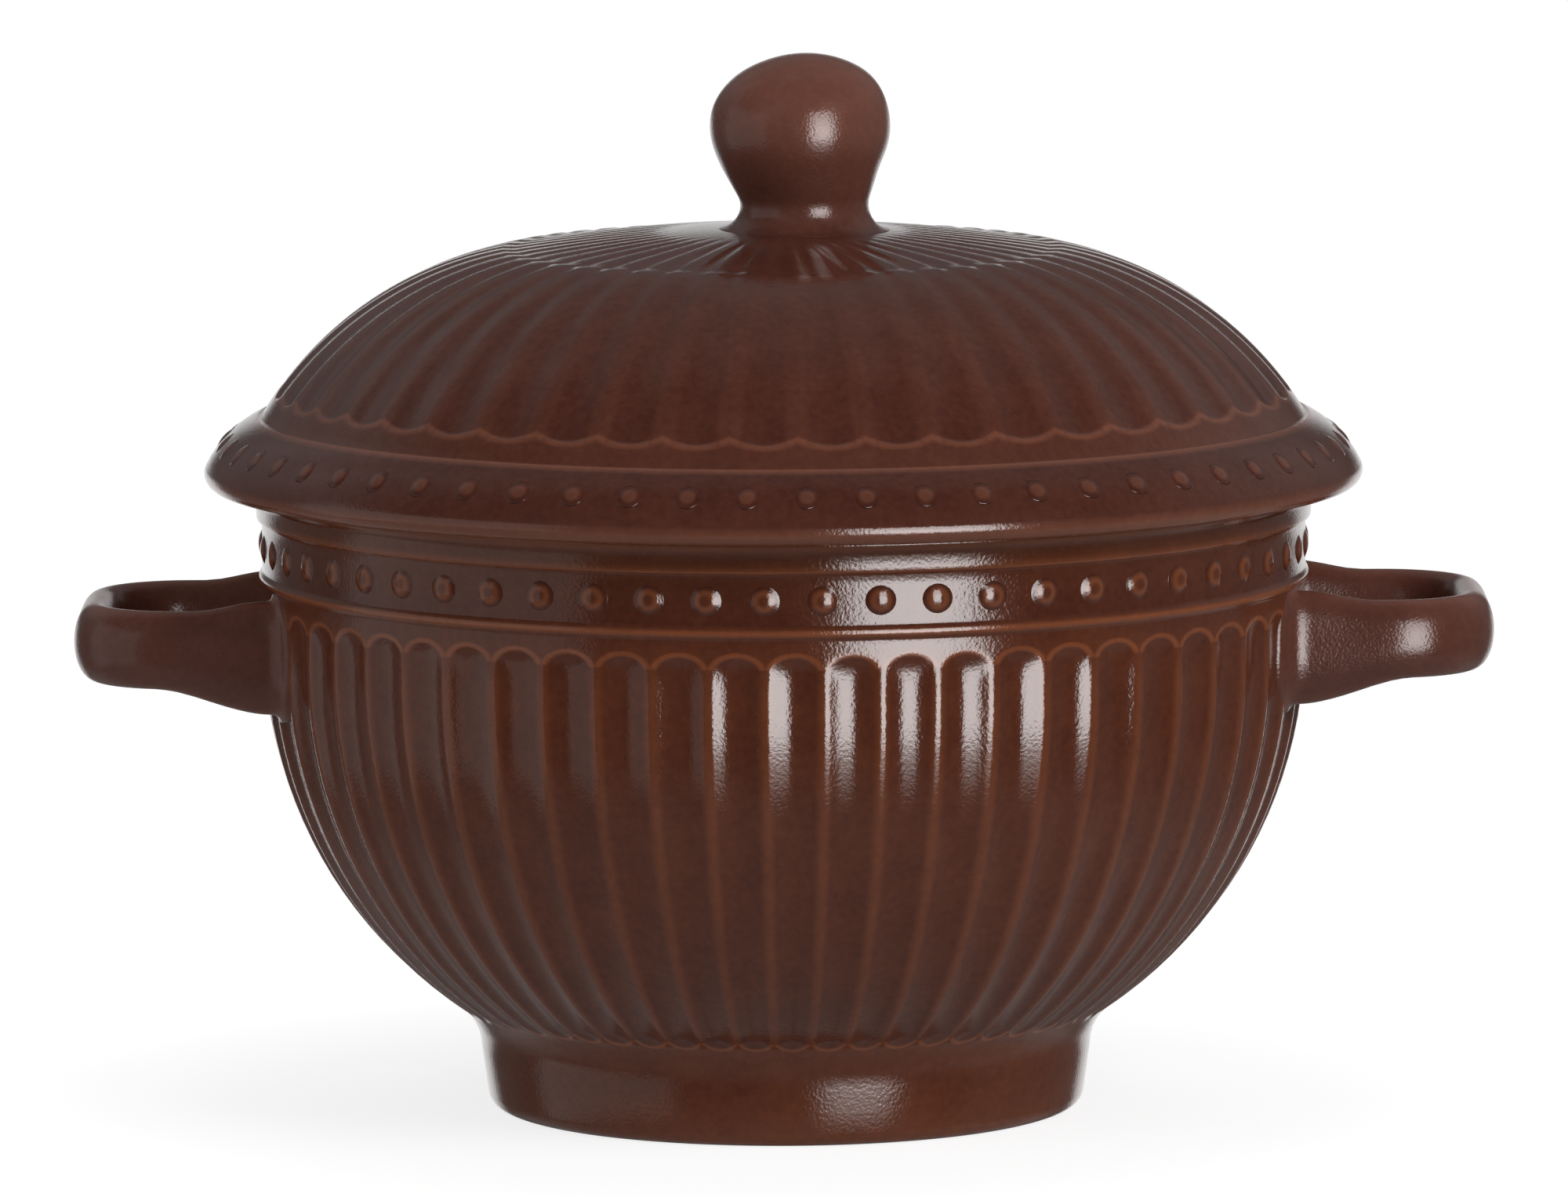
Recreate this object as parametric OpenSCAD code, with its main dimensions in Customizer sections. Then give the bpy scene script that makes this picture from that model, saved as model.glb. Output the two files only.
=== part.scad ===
// Lidded soup cup of dark brown glazed stoneware: a fluted round bowl on a plain
// foot, two strap handles, a row of beads under the rim, and a fluted domed lid
// with its own row of beads and a round knob.
// Millimetres. Z is up, the cup stands on z = 0 with its axis on Z, the handles
// point along X and the front looks along -Y.

/* [Bowl] */
// Outer radius of the bowl at its widest
bowl_r = 58.6; // [54:0.1:64]
// Height of the widest place above the table
belly_h = 52.9; // [48:0.1:56]
// Height above the table that the wall's curve, seen from the side, would sink to if it ran on
belly_curve_low_h = 3; // [1.5:0.1:4]
// Thickness of the wall at the mouth
wall_t = 4.3; // [3.5:0.1:6]
// Thickness of the floor
floor_t = 5.4; // [4:0.1:8]
// Height of the rim above the table
rim_h = 71; // [69.5:0.1:76]
// How far the collar flares out at the rim
collar_flare = 0.8; // [0.4:0.1:1.4]
// How far the collar stands proud of the bead band
collar_proud = 0.6; // [0.3:0.1:1]
// Height of the collar, from the bead band to the rim
collar_h = 4.1; // [3:0.1:5]
// Rounding of the rim's edges
rim_round_r = 0.9; // [0.5:0.1:1.2]

/* [Cup bead band] */
// Height of the bead band, from its lower line to the collar
band_h = 6.5; // [5:0.1:8]
// Radius of the round edge of the lower line
line_round_r = 0.9; // [0.7:0.1:1.2]
// How far the lower line stands proud of the wall
line_proud = 0.35; // [0.2:0.05:0.6]
// Number of beads round the cup
cup_bead_count = 58; // [40:1:64]
// Width of a bead on the cup
cup_bead_w = 3.1; // [2.4:0.1:3.6]
// How far a bead on the cup stands proud
cup_bead_proud = 0.8; // [0.5:0.1:1.2]
// Turn of the row of beads about the axis, in degrees
cup_bead_turn = 4.1; // [0:0.1:6]

/* [Cup flutes] */
// Number of flutes round the cup
cup_flute_count = 58; // [40:1:60]
// Width of a flute at its round top
cup_flute_w = 5.6; // [4:0.1:5.8]
// Depth of a flute at its top
cup_flute_depth = 0.9; // [0.85:0.05:1]
// Depth of a flute where it ends above the foot
cup_flute_foot_depth = 0.33; // [0.2:0.01:0.5]
// Distance from the lower line down to the tops of the flutes
cup_flute_drop = 2.5; // [1.5:0.1:5]
// Distance from the top of the cove over the foot down to the flutes' lower tips
cup_flute_end_drop = 0.54; // [0.1:0.01:0.7]
// Turn of the row of flutes about the axis, in degrees
cup_flute_turn = 1.1; // [0:0.1:6]

/* [Foot] */
// How far the foot stands back from the bowl at its widest
foot_inset = 24.3; // [21:0.1:27]
// Height of the foot ring
foot_h = 6.8; // [5:0.1:8]
// Thickness of the foot ring
foot_wall_t = 6.4; // [4:0.1:9]
// How much smaller the foot is at the table
foot_taper = 0.7; // [0:0.1:2]
// Rounding of the foot's outer edge at the table
foot_round_r = 1.9; // [0.8:0.1:2.5]
// Rounding of the foot's inner edge at the table
foot_inner_round_r = 0.9; // [0.4:0.1:1.5]
// Radius of the hollow curve between bowl and foot
foot_cove_r = 6; // [3:0.1:8]

/* [Handles] */
// How far a handle stands out from the bowl
handle_out = 21; // [16:0.5:30]
// Width of a handle's loop across its two arms
loop_w = 34.6; // [30:0.2:38]
// Radius of the loop's corners, measured outside
loop_corner_r = 12; // [9:0.5:14]
// Thickness of the strap, seen from above
strap_t = 5.4; // [4.5:0.1:7]
// Height of the strap
strap_h = 9.4; // [8:0.1:11]
// Distance from the collar down to the strap's middle
strap_drop = 13.5; // [13:0.1:15]
// Height of the strap where it joins the bowl
root_h = 13.4; // [11:0.1:13.6]
// Thickness of the strap where it joins the bowl
root_t = 8; // [6:0.1:10]

/* [Lid dome] */
// How far the lid reaches out past the bowl
lid_overhang = 6.4; // [5.4:0.1:9.4]
// Height of the dome's top over the lid's seat
dome_h = 27.9; // [24:0.1:32]
// Radius of the curve of the dome's flat crown
crown_curve_r = 195; // [150:1:260]
// How far in from the step the shoulder meets the crown
shoulder_run = 29.4; // [26:0.1:33]
// Radius of the curve of the dome's shoulder
shoulder_curve_r = 40.4; // [38:0.1:42]
// Thickness of the lid
lid_t = 4.4; // [3.5:0.1:6]
// Radius of the round lip of the lid
lip_round_r = 1.5; // [1:0.1:2]
// How far the lip hangs below the lid's seat
lip_drop = 0.8; // [0.3:0.1:1.2]
// Radius of the curve of the sloping band on the lid's rim
lid_band_curve_r = 12; // [10:0.5:16]
// Height of the step over the sloping band, above the seat
lid_step_h = 6.7; // [5.5:0.1:8]
// How far the step stands back from the lid's edge
lid_step_in = 5.4; // [4.5:0.1:6.5]
// Rounding of that step
lid_step_round_r = 0.6; // [0.3:0.1:1]

/* [Lid flutes] */
// Number of flutes round the lid
lid_flute_count = 48; // [36:1:50]
// Width of a flute at its scalloped lower end
lid_flute_w = 6.5; // [4:0.1:6.7]
// Depth of a flute at its lower end
lid_flute_depth = 0.7; // [0.4:0.05:0.9]
// Depth of a flute where the shoulder meets the crown
lid_flute_crown_depth = 0.2; // [0.15:0.01:0.22]
// How far in from the step the flutes' lower ends lie
lid_flute_end_in = 3; // [2.6:0.1:5.6]
// Length of the flutes on the crown, until they run out
lid_flute_crown_run = 13.2; // [9:0.1:16]
// Turn of the row of flutes about the axis, in degrees
lid_flute_turn = 5.3; // [0:0.1:7.5]

/* [Lid beads] */
// Number of beads round the lid
lid_bead_count = 61; // [40:1:66]
// Width of a bead on the lid
lid_bead_w = 2.9; // [2:0.1:3.4]
// How far a bead on the lid stands proud
lid_bead_proud = 0.6; // [0.3:0.05:0.9]
// Height of the row of beads above the lid's seat
lid_bead_h = 4.3; // [3.5:0.1:5]
// Turn of the row of beads about the axis, in degrees
lid_bead_turn = 2.5; // [0:0.1:6]

/* [Knob] */
// Height of the knob over the dome
knob_h = 19.5; // [15:0.1:26]
// Radius of the knob at its widest
knob_r = 10; // [8.5:0.1:11.4]
// Radius of the knob's neck
neck_r = 7; // [5:0.1:8]
// Height of the neck's narrowest place over the dome
neck_h = 2.3; // [1.5:0.1:3]
// Distance from the knob's top down to its widest place
knob_wide_drop = 7.1; // [6.5:0.1:8.5]
// Radius of the curve over the top of the knob
knob_top_curve_r = 13; // [11:0.1:18]
// Distance from the axis to the middle of the knob, which sits a little to the right
knob_shift = 1.6; // [0:0.1:2.5]

/* [Locating ring] */
// How far the ring under the lid drops into the mouth
ring_drop = 5; // [3:0.1:9]
// Thickness of the ring
ring_t = 3.8; // [2.5:0.1:5]
// Height over which the ring grips the lid
ring_grip_h = 4.6; // [3:0.1:6]
// Rounding of the ring's lower edges
ring_round_r = 0.9; // [0.4:0.1:1.2]

/* [Fits] */
// Gap between the ring and the inside of the mouth
mouth_gap = 1.7; // [0.8:0.1:2.5]
// Gap between the rim and the lid's seat
seat_gap = 0.3; // [0.2:0.05:0.6]

/* [Hidden] */
$fn = 96;
glaze = "#4a2720";
overrun = 1;
full_turn = 360;
right_angle = 90;
front_angle = -90;
wedge_share = 0.97;
hull_sides = 32;
fine_sides = 360;
slice_t = 0.2;
// How far neighbouring curves cross where they would only touch
crossing = 0.01;
// How much of the arms' widening towards the bowl happens in its first half
arm_widening_share = 0.35;

// Bowl: middles of the wall's curves inside and outside, heights of the lines
mouth_r = bowl_r - wall_t;
belly_curve_r = belly_h - belly_curve_low_h;
belly_x = bowl_r - belly_curve_r;
inside_curve_r = belly_h - foot_h - floor_t;
inside_x = mouth_r - inside_curve_r;
collar_z = rim_h - collar_h;
collar_r = bowl_r + collar_proud;
rim_r = collar_r + collar_flare;
flare_curve_r = (collar_h * collar_h + collar_flare * collar_flare) / (2 * collar_flare);
line_z = collar_z - band_h;

// Cove between bowl and foot, which touches the wall's curve and the foot
foot_r = bowl_r - foot_inset;
cove_x = foot_r + foot_cove_r;
cove_reach = belly_curve_r + foot_cove_r;
cove_z = belly_h - sqrt(cove_reach * cove_reach - (cove_x - belly_x) * (cove_x - belly_x));
cove_touch_x = belly_x + (cove_x - belly_x) * belly_curve_r / cove_reach;
cove_touch_z = belly_h + (cove_z - belly_h) * belly_curve_r / cove_reach;

// Radius of the ball or tube that cuts or stands out to a width and a depth
function cap_r(width, depth) = (width * width / 4 + depth * depth) / (2 * depth);
function cap_w(radius, depth) = 2 * sqrt(2 * radius * depth - depth * depth);
// Angle, in degrees, that a length takes up along a curve
function arc_angle(length, radius) = full_turn / 2 / PI * length / radius;

// Cup flutes: a round cutter follows an arc whose middle lies nearer the axis than
// that of the wall's curve, so the flutes get shallower and narrower downwards
cup_cut_r = cap_r(cup_flute_w, cup_flute_depth);
cup_foot_w = cap_w(cup_cut_r, cup_flute_foot_depth);
cup_flute_end_h = cove_touch_z - cup_flute_end_drop;
cup_top_angle = asin((line_z - cup_flute_drop - cup_flute_w / 2 - belly_h) / belly_curve_r);
cup_foot_angle = asin((cup_flute_end_h - belly_h) / belly_curve_r)
    + arc_angle(cup_foot_w / 2, belly_curve_r);
cup_path_shift = (cup_flute_depth - cup_flute_foot_depth) / (cos(cup_top_angle) - cos(cup_foot_angle));
cup_path_x = belly_x - cup_path_shift;
cup_path_r = belly_curve_r - cup_flute_depth + cup_path_shift * cos(cup_top_angle);
cup_flute_step = full_turn / cup_flute_count;
cup_bead_ball_r = cap_r(cup_bead_w, cup_bead_proud);

// Handles: middle of the loop's corners, reach of the strap's middle
strap_mid_h = collar_z - strap_drop;
strap_mid_r = loop_corner_r - strap_t / 2;
corner_x = bowl_r + handle_out - loop_corner_r;
corner_y = loop_w / 2 - loop_corner_r;
arm_y = loop_w / 2 - strap_t / 2;
arm_mid_x = (corner_x + bowl_r) / 2;
arm_mid_t = strap_t + (root_t - strap_t) * arm_widening_share;
arm_mid_h = strap_h + (root_h - strap_h) * arm_widening_share;
handle_half_angle = asin((arm_y + root_t) / bowl_r);

// Lid: radii, heights, middle of the shoulder's curve, middle of the lip
lid_r = bowl_r + lid_overhang;
lid_step_r = lid_r - lid_step_in;
crown_r = lid_step_r - shoulder_run;
seat_z = rim_h + seat_gap;
dome_z = seat_z + dome_h;
crown_angle = asin(crown_r / crown_curve_r);
crown_mid_z = dome_z - crown_curve_r;
shoulder_x = crown_r - shoulder_curve_r * sin(crown_angle);
shoulder_z = crown_mid_z + (crown_curve_r - shoulder_curve_r) * cos(crown_angle);
ring_r = mouth_r - mouth_gap;
lip_x = lid_r - lip_round_r;
lip_z = seat_z - lip_drop + lip_round_r;
step_z = seat_z + lid_step_h;

// Middle of the band's curve, which touches the lip and passes through the step
band_near = lid_band_curve_r - lip_round_r;
band_gap = norm([lip_x - lid_step_r, step_z - lip_z]);
band_turn = acos((band_near * band_near + band_gap * band_gap - lid_band_curve_r * lid_band_curve_r)
    / (2 * band_near * band_gap));
band_lean = atan2(step_z - lip_z, lid_step_r - lip_x) + band_turn;
band_x = lip_x + band_near * cos(band_lean);
band_z = lip_z + band_near * sin(band_lean);
lid_bead_ball_r = cap_r(lid_bead_w, lid_bead_proud);
lid_bead_angle = asin((seat_z + lid_bead_h - band_z) / lid_band_curve_r);
lid_bead_reach = lid_band_curve_r + lid_bead_proud - lid_bead_ball_r;

// Lid flutes: the same kind of cutter follows one arc along the shoulder, and from
// there a flatter one along the crown, until it comes out of the surface
lid_cut_r = cap_r(lid_flute_w, lid_flute_depth);
lid_flute_end_r = lid_step_r - lid_flute_end_in;
lid_flute_start_r = crown_r - lid_flute_crown_run;
lid_end_angle = asin((lid_flute_end_r - shoulder_x) / shoulder_curve_r)
    - arc_angle(lid_flute_w / 2, shoulder_curve_r);
lid_path_shift = (lid_flute_depth - lid_flute_crown_depth) / (sin(lid_end_angle) - sin(crown_angle));
lid_path_x = shoulder_x - lid_path_shift;
lid_path_r = shoulder_curve_r - lid_flute_depth + lid_path_shift * sin(lid_end_angle);
crown_normal = [sin(crown_angle), cos(crown_angle)];
flute_join = [lid_path_x, shoulder_z] + lid_path_r * crown_normal;
flute_start = [lid_flute_start_r,
    crown_mid_z + sqrt(crown_curve_r * crown_curve_r - lid_flute_start_r * lid_flute_start_r)];
flute_run = flute_start - flute_join;
crown_path_r = -(flute_run * flute_run) / (2 * (flute_run * crown_normal));
crown_path = flute_join - crown_path_r * crown_normal;
flute_run_angle = arc_angle(norm(flute_run) + overrun, crown_path_r);
lid_flute_step = full_turn / lid_flute_count;

// Knob: middles of the curves, each of which touches the next
knob_top_z = dome_z + knob_h;
knob_wide_z = knob_top_z - knob_wide_drop;
neck_z = dome_z + neck_h;
top_mid_z = knob_top_z - knob_top_curve_r;
brow_lift = knob_wide_z - top_mid_z;
brow_near = knob_top_curve_r - knob_r;
brow_r = (knob_top_curve_r * knob_top_curve_r - knob_r * knob_r - brow_lift * brow_lift) / (2 * brow_near);
brow_x = knob_r - brow_r;
brow_touch_x = brow_x * knob_top_curve_r / (knob_top_curve_r - brow_r);
neck_x = neck_r + neck_h;
cheek_lift = knob_wide_z - neck_z;
cheek_side = neck_x - knob_r;
cheek_r = (cheek_lift * cheek_lift + cheek_side * cheek_side - neck_h * neck_h)
    / (2 * (neck_h - cheek_side));
cheek_x = knob_r - cheek_r;
cheek_touch_x = cheek_x + (neck_x - cheek_x) * cheek_r / (cheek_r + neck_h);
cheek_touch_z = knob_wide_z + (neck_z - knob_wide_z) * cheek_r / (cheek_r + neck_h);

// A tube bent along an arc in the plane of X and Z, with angles from X towards Z
module arc_tube(mid_x, mid_z, path_r, from_angle, to_angle, tube_r) {
    translate([mid_x, 0, mid_z])
        rotate([0, -from_angle, 0])
            rotate([right_angle, 0, 0])
                rotate_extrude(angle = to_angle - from_angle)
                    translate([path_r, 0])
                        circle(r = tube_r);
}

// A ball at one place on such an arc, a hair larger than the tube whose end it rounds
module arc_ball(mid_x, mid_z, path_r, at_angle, ball_r) {
    translate([mid_x + path_r * cos(at_angle), 0, mid_z + path_r * sin(at_angle)])
        sphere(r = ball_r + crossing);
}

// A slice of cake about the axis, which keeps a cutter clear of its neighbours
module wedge(step_angle, reach, from_z, to_z) {
    half_w = reach * tan(step_angle / 2 * wedge_share);
    translate([0, 0, from_z])
        linear_extrude(to_z - from_z)
            polygon([[0, 0], [reach, -half_w], [reach, half_w]]);
}

// Places its children round the axis, from the front towards the right
module row(count, turn) {
    for (i = [0:count - 1])
        rotate([0, 0, front_angle + turn + i * full_turn / count])
            children();
}

module bowl_outline() {
    difference() {
        union() {
            intersection() {
                translate([belly_x, belly_h])
                    circle(r = belly_curve_r);
                translate([0, foot_h])
                    square([bowl_r, belly_h - foot_h]);
            }
            polygon([[0, foot_h], [foot_r, foot_h], [foot_r, cove_z], [cove_x, cove_z],
                [cove_touch_x, cove_touch_z], [0, cove_touch_z]]);
        }
        translate([cove_x, cove_z])
            circle(r = foot_cove_r + crossing);
    }
    translate([0, belly_h])
        square([bowl_r, rim_h - rim_round_r - belly_h]);
    translate([bowl_r + line_proud - line_round_r, line_z])
        circle(r = line_round_r);
}

module collar_outline() {
    difference() {
        translate([0, collar_z])
            square([rim_r, collar_h - rim_round_r]);
        translate([collar_r + flare_curve_r, collar_z])
            circle(r = flare_curve_r, $fn = fine_sides);
    }
    translate([mouth_r + rim_round_r, rim_h - rim_round_r])
        circle(r = rim_round_r);
    translate([rim_r - rim_round_r, rim_h - rim_round_r])
        circle(r = rim_round_r);
    translate([mouth_r + rim_round_r, rim_h - 2 * rim_round_r])
        square([rim_r - mouth_r - 2 * rim_round_r, 2 * rim_round_r]);
}

module cavity_outline() {
    intersection() {
        translate([inside_x, belly_h])
            circle(r = inside_curve_r);
        translate([inside_x, foot_h])
            square([inside_curve_r, belly_h - foot_h]);
    }
    translate([0, foot_h + floor_t])
        square([inside_x, belly_h - foot_h - floor_t]);
    translate([0, belly_h])
        square([mouth_r, rim_h - rim_round_r - belly_h]);
}

module bowl_body() {
    rotate_extrude()
        difference() {
            union() {
                bowl_outline();
                collar_outline();
            }
            cavity_outline();
        }
}

module cup_flute_cutter() {
    intersection() {
        union() {
            arc_tube(cup_path_x, belly_h, cup_path_r + cup_cut_r, cup_foot_angle, cup_top_angle, cup_cut_r);
            arc_ball(cup_path_x, belly_h, cup_path_r + cup_cut_r, cup_top_angle, cup_cut_r);
            arc_ball(cup_path_x, belly_h, cup_path_r + cup_cut_r, cup_foot_angle, cup_cut_r);
        }
        wedge(cup_flute_step, rim_r, foot_h, line_z);
    }
}

module cup_bowl() {
    color(glaze)
        difference() {
            bowl_body();
            row(cup_flute_count, cup_flute_turn)
                cup_flute_cutter();
        }
}

module corner_cut(x, z, side, radius) {
    difference() {
        translate([min(x, x + side * radius), z - overrun])
            square([radius, radius + overrun]);
        translate([x + side * radius, z + radius])
            circle(r = radius);
    }
}

module cup_foot_ring() {
    low_r = foot_r - foot_taper;
    inner_r = foot_r - foot_wall_t;
    color(glaze)
        rotate_extrude()
            difference() {
                polygon([[inner_r, foot_h], [foot_r, foot_h], [low_r, foot_round_r], [low_r, 0],
                    [inner_r, 0]]);
                corner_cut(low_r, 0, -1, foot_round_r);
                corner_cut(inner_r, 0, 1, foot_inner_round_r);
            }
}

module cup_beads() {
    color(glaze)
        row(cup_bead_count, cup_bead_turn)
            difference() {
                translate([bowl_r + cup_bead_proud - cup_bead_ball_r, 0, (line_z + collar_z) / 2])
                    rotate([0, right_angle, 0])
                        sphere(r = cup_bead_ball_r);
                cylinder(h = rim_h, r = bowl_r, $fn = fine_sides);
            }
}

module strap_section(thick, high) {
    square([thick, high - thick], center = true);
    for (side = [-1, 1])
        translate([0, side * (high - thick) / 2])
            circle(d = thick);
}

// A thin slice of a handle's arm, across X
module arm_slice(x, y, thick, high) {
    translate([x, y, strap_mid_h])
        rotate([right_angle, 0, right_angle])
            linear_extrude(slice_t)
                strap_section(thick, high, $fn = hull_sides);
}

module loop_corner(side) {
    translate([corner_x, side * corner_y, strap_mid_h])
        rotate([0, 0, side > 0 ? 0 : front_angle])
            rotate_extrude(angle = right_angle)
                translate([strap_mid_r, 0])
                    strap_section(strap_t, strap_h);
}

module handle_loop() {
    translate([corner_x + strap_mid_r, corner_y, strap_mid_h])
        rotate([right_angle, 0, 0])
            linear_extrude(2 * corner_y)
                strap_section(strap_t, strap_h);
    for (side = [-1, 1]) {
        loop_corner(side);
        hull() {
            arm_slice(corner_x - slice_t, side * arm_y, strap_t, strap_h);
            arm_slice(arm_mid_x, side * arm_y, arm_mid_t, arm_mid_h);
        }
        hull() {
            arm_slice(arm_mid_x, side * arm_y, arm_mid_t, arm_mid_h);
            arm_slice(mouth_r, side * arm_y, root_t, root_h);
        }
    }
}

// The bowl's outside with those flutes that a handle at that angle covers
module bowl_near_handle(at_angle) {
    difference() {
        rotate_extrude()
            union()
                bowl_outline();
        for (i = [0:cup_flute_count - 1]) {
            flute_angle = front_angle + cup_flute_turn + i * cup_flute_step;
            if (cos(flute_angle - at_angle) > cos(handle_half_angle + cup_flute_step))
                rotate([0, 0, flute_angle])
                    cup_flute_cutter();
        }
    }
}

module handle(at_angle) {
    color(glaze)
        difference() {
            rotate([0, 0, at_angle])
                handle_loop();
            bowl_near_handle(at_angle);
        }
}

module handle_left() {
    handle(full_turn / 2);
}

module handle_right() {
    handle(0);
}

module dome_outline(shrink, side_r, low_z) {
    side_x = (crown_curve_r - shrink) * sin(crown_angle);
    intersection() {
        translate([0, crown_mid_z])
            circle(r = crown_curve_r - shrink);
        union() {
            translate([0, low_z])
                square([side_x, dome_z - low_z]);
            intersection() {
                translate([shoulder_x, shoulder_z + crossing])
                    circle(r = shoulder_curve_r - shrink);
                translate([side_x, low_z])
                    square([side_r - side_x, dome_z - low_z]);
            }
        }
    }
}

module lid_outline() {
    dome_outline(0, lid_step_r, step_z);
    // rim below the step
    translate([0, seat_z])
        square([lip_x, lip_z - seat_z]);
    translate([lip_x, lip_z])
        circle(r = lip_round_r);
    translate([0, lip_z])
        square([band_x, step_z - lip_z]);
    intersection() {
        translate([band_x, band_z])
            circle(r = lid_band_curve_r);
        translate([band_x, lip_z])
            square([lid_band_curve_r, step_z - lip_z]);
    }
    translate([lid_step_r - lid_step_round_r, step_z - lid_step_round_r / 2])
        circle(r = lid_step_round_r);
}

module lid_body() {
    rotate_extrude()
        difference() {
            union()
                lid_outline();
            dome_outline(lid_t, ring_r, seat_z - overrun);
        }
}

module lid_flute_cutter() {
    intersection() {
        union() {
            arc_tube(lid_path_x, shoulder_z, lid_path_r + lid_cut_r,
                right_angle - lid_end_angle, right_angle - crown_angle, lid_cut_r);
            arc_tube(crown_path[0], crown_path[1], crown_path_r + lid_cut_r,
                right_angle - crown_angle, right_angle - crown_angle + flute_run_angle, lid_cut_r);
            arc_ball(lid_path_x, shoulder_z, lid_path_r + lid_cut_r, right_angle - crown_angle, lid_cut_r);
            arc_ball(lid_path_x, shoulder_z, lid_path_r + lid_cut_r, right_angle - lid_end_angle, lid_cut_r);
        }
        wedge(lid_flute_step, lid_r, step_z, knob_top_z);
    }
}

module lid_dome() {
    color(glaze)
        difference() {
            lid_body();
            row(lid_flute_count, lid_flute_turn)
                lid_flute_cutter();
        }
}

module lid_beads() {
    color(glaze)
        row(lid_bead_count, lid_bead_turn)
            difference() {
                translate([band_x + lid_bead_reach * cos(lid_bead_angle), 0,
                    band_z + lid_bead_reach * sin(lid_bead_angle)])
                    rotate([0, right_angle - lid_bead_angle, 0])
                        sphere(r = lid_bead_ball_r);
                band_ring();
            }
}

// The curved band alone, as a ring under the beads
module band_ring() {
    rotate_extrude($fn = fine_sides)
        intersection() {
            translate([band_x, band_z])
                circle(r = lid_band_curve_r, $fn = fine_sides);
            translate([band_x, lip_z])
                square([lid_band_curve_r, step_z - lip_z]);
        }
}

module knob_outline() {
    intersection() {
        translate([0, top_mid_z])
            circle(r = knob_top_curve_r);
        translate([0, knob_wide_z])
            square([brow_touch_x, knob_top_z - knob_wide_z]);
    }
    intersection() {
        translate([brow_x, knob_wide_z])
            circle(r = brow_r);
        translate([brow_x, knob_wide_z])
            square([brow_r, brow_r]);
    }
    intersection() {
        translate([cheek_x, knob_wide_z])
            circle(r = cheek_r);
        translate([0, cheek_touch_z])
            square([knob_r, knob_wide_z - cheek_touch_z]);
    }
    difference() {
        polygon([[0, seat_z], [neck_x, seat_z], [neck_x, neck_z], [cheek_touch_x, cheek_touch_z],
            [0, cheek_touch_z]]);
        translate([neck_x, neck_z])
            circle(r = neck_h);
    }
}

module lid_knob() {
    color(glaze)
        difference() {
            translate([knob_shift, 0, 0])
                rotate_extrude()
                    knob_outline();
            rotate_extrude()
                dome_outline(0, lid_step_r, seat_z - overrun);
        }
}

module lid_locating_ring() {
    low_z = seat_z - ring_drop;
    inner_r = ring_r - ring_t;
    color(glaze)
        rotate_extrude()
            difference() {
                intersection() {
                    translate([inner_r, low_z])
                        square([ring_t, ring_drop + ring_grip_h]);
                    dome_outline(lid_t, ring_r, low_z - overrun);
                }
                corner_cut(ring_r, low_z, -1, ring_round_r);
                corner_cut(inner_r, low_z, 1, ring_round_r);
            }
}

cup_bowl();
cup_foot_ring();
cup_beads();
handle_left();
handle_right();
lid_dome();
lid_beads();
lid_knob();
lid_locating_ring();
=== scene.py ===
"""Lidded soup cup of dark brown glazed stoneware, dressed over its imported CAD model.

Sizes are in millimetres and angles in degrees, measured about the cup's axis from the front
towards the right handle. Meshes, lamps and the camera are in metres.

A place on an outline is a radius and a height, and the angles of its arcs turn from outwards
towards up.
"""

import logging
import math
from bisect import bisect_right
from collections.abc import Callable
from dataclasses import dataclass
from enum import Enum
from functools import partial
from typing import Any

import bmesh
import bpy
from mathutils import Matrix, Vector


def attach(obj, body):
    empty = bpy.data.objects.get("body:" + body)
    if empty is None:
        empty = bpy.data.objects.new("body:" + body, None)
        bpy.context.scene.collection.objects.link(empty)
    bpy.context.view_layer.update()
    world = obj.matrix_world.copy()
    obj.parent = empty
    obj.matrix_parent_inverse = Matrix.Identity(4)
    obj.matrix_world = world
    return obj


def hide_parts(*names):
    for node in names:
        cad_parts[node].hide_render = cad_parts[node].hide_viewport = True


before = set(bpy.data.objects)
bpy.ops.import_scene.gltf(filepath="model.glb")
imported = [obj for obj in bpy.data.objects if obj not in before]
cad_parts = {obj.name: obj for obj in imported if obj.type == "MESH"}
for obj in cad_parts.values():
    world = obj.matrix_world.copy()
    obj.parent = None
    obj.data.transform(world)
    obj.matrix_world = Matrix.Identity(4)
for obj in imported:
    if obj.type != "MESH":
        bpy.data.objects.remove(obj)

# A millimetre in metres
MM = 0.001
# Metres within which vertices are one, and within which they are on the axis
MERGE = 1e-8
AXIS = 1e-7
# A length in millimetres too short to matter
HAIR = 1e-6
# The attribute in which each vertex keeps its glaze values for the material
GLAZE_MAP = "glaze_map"
log = logging.getLogger("soup_cup")

Place = tuple[float, float]
Span = tuple[float, float]
Triple = tuple[float, float, float]
# Radius and height of a circle's middle, and its own radius
Circle = Triple
# A part of an arc: the angle where it ends, its rows, and how thin the glaze is at its end
Part = tuple[float, int, float]
# Gives radius, height and the two parts of the outward normal at a length
Stretch = Callable[[float], tuple[float, float, float, float]]
# Makes a map range rise and fall smoothly
SMOOTH = {"interpolation_type": "SMOOTHSTEP"}


def rise(value: float, low: float, high: float) -> float:
    """Rises smoothly from 0 at low to 1 at high.

    Args:
        value: where on the slope.
        low: where it leaves 0.
        high: where it reaches 1.

    Returns:
        A share between 0 and 1.
    """
    share = min(max((value - low) / (high - low), 0.0), 1.0)
    return share * share * (3 - 2 * share)


def soft_positive(value: float, softness: float) -> float:
    """Returns value where it is well over 0, and 0 below, with a rounded corner between."""
    return (value + math.sqrt(value * value + softness * softness)) / 2


def blend(start: float, end: float, share: float) -> float:
    """Returns the number that lies at this share of the way from start to end, held at both."""
    return start + (end - start) * min(max(share, 0.0), 1.0)


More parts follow.
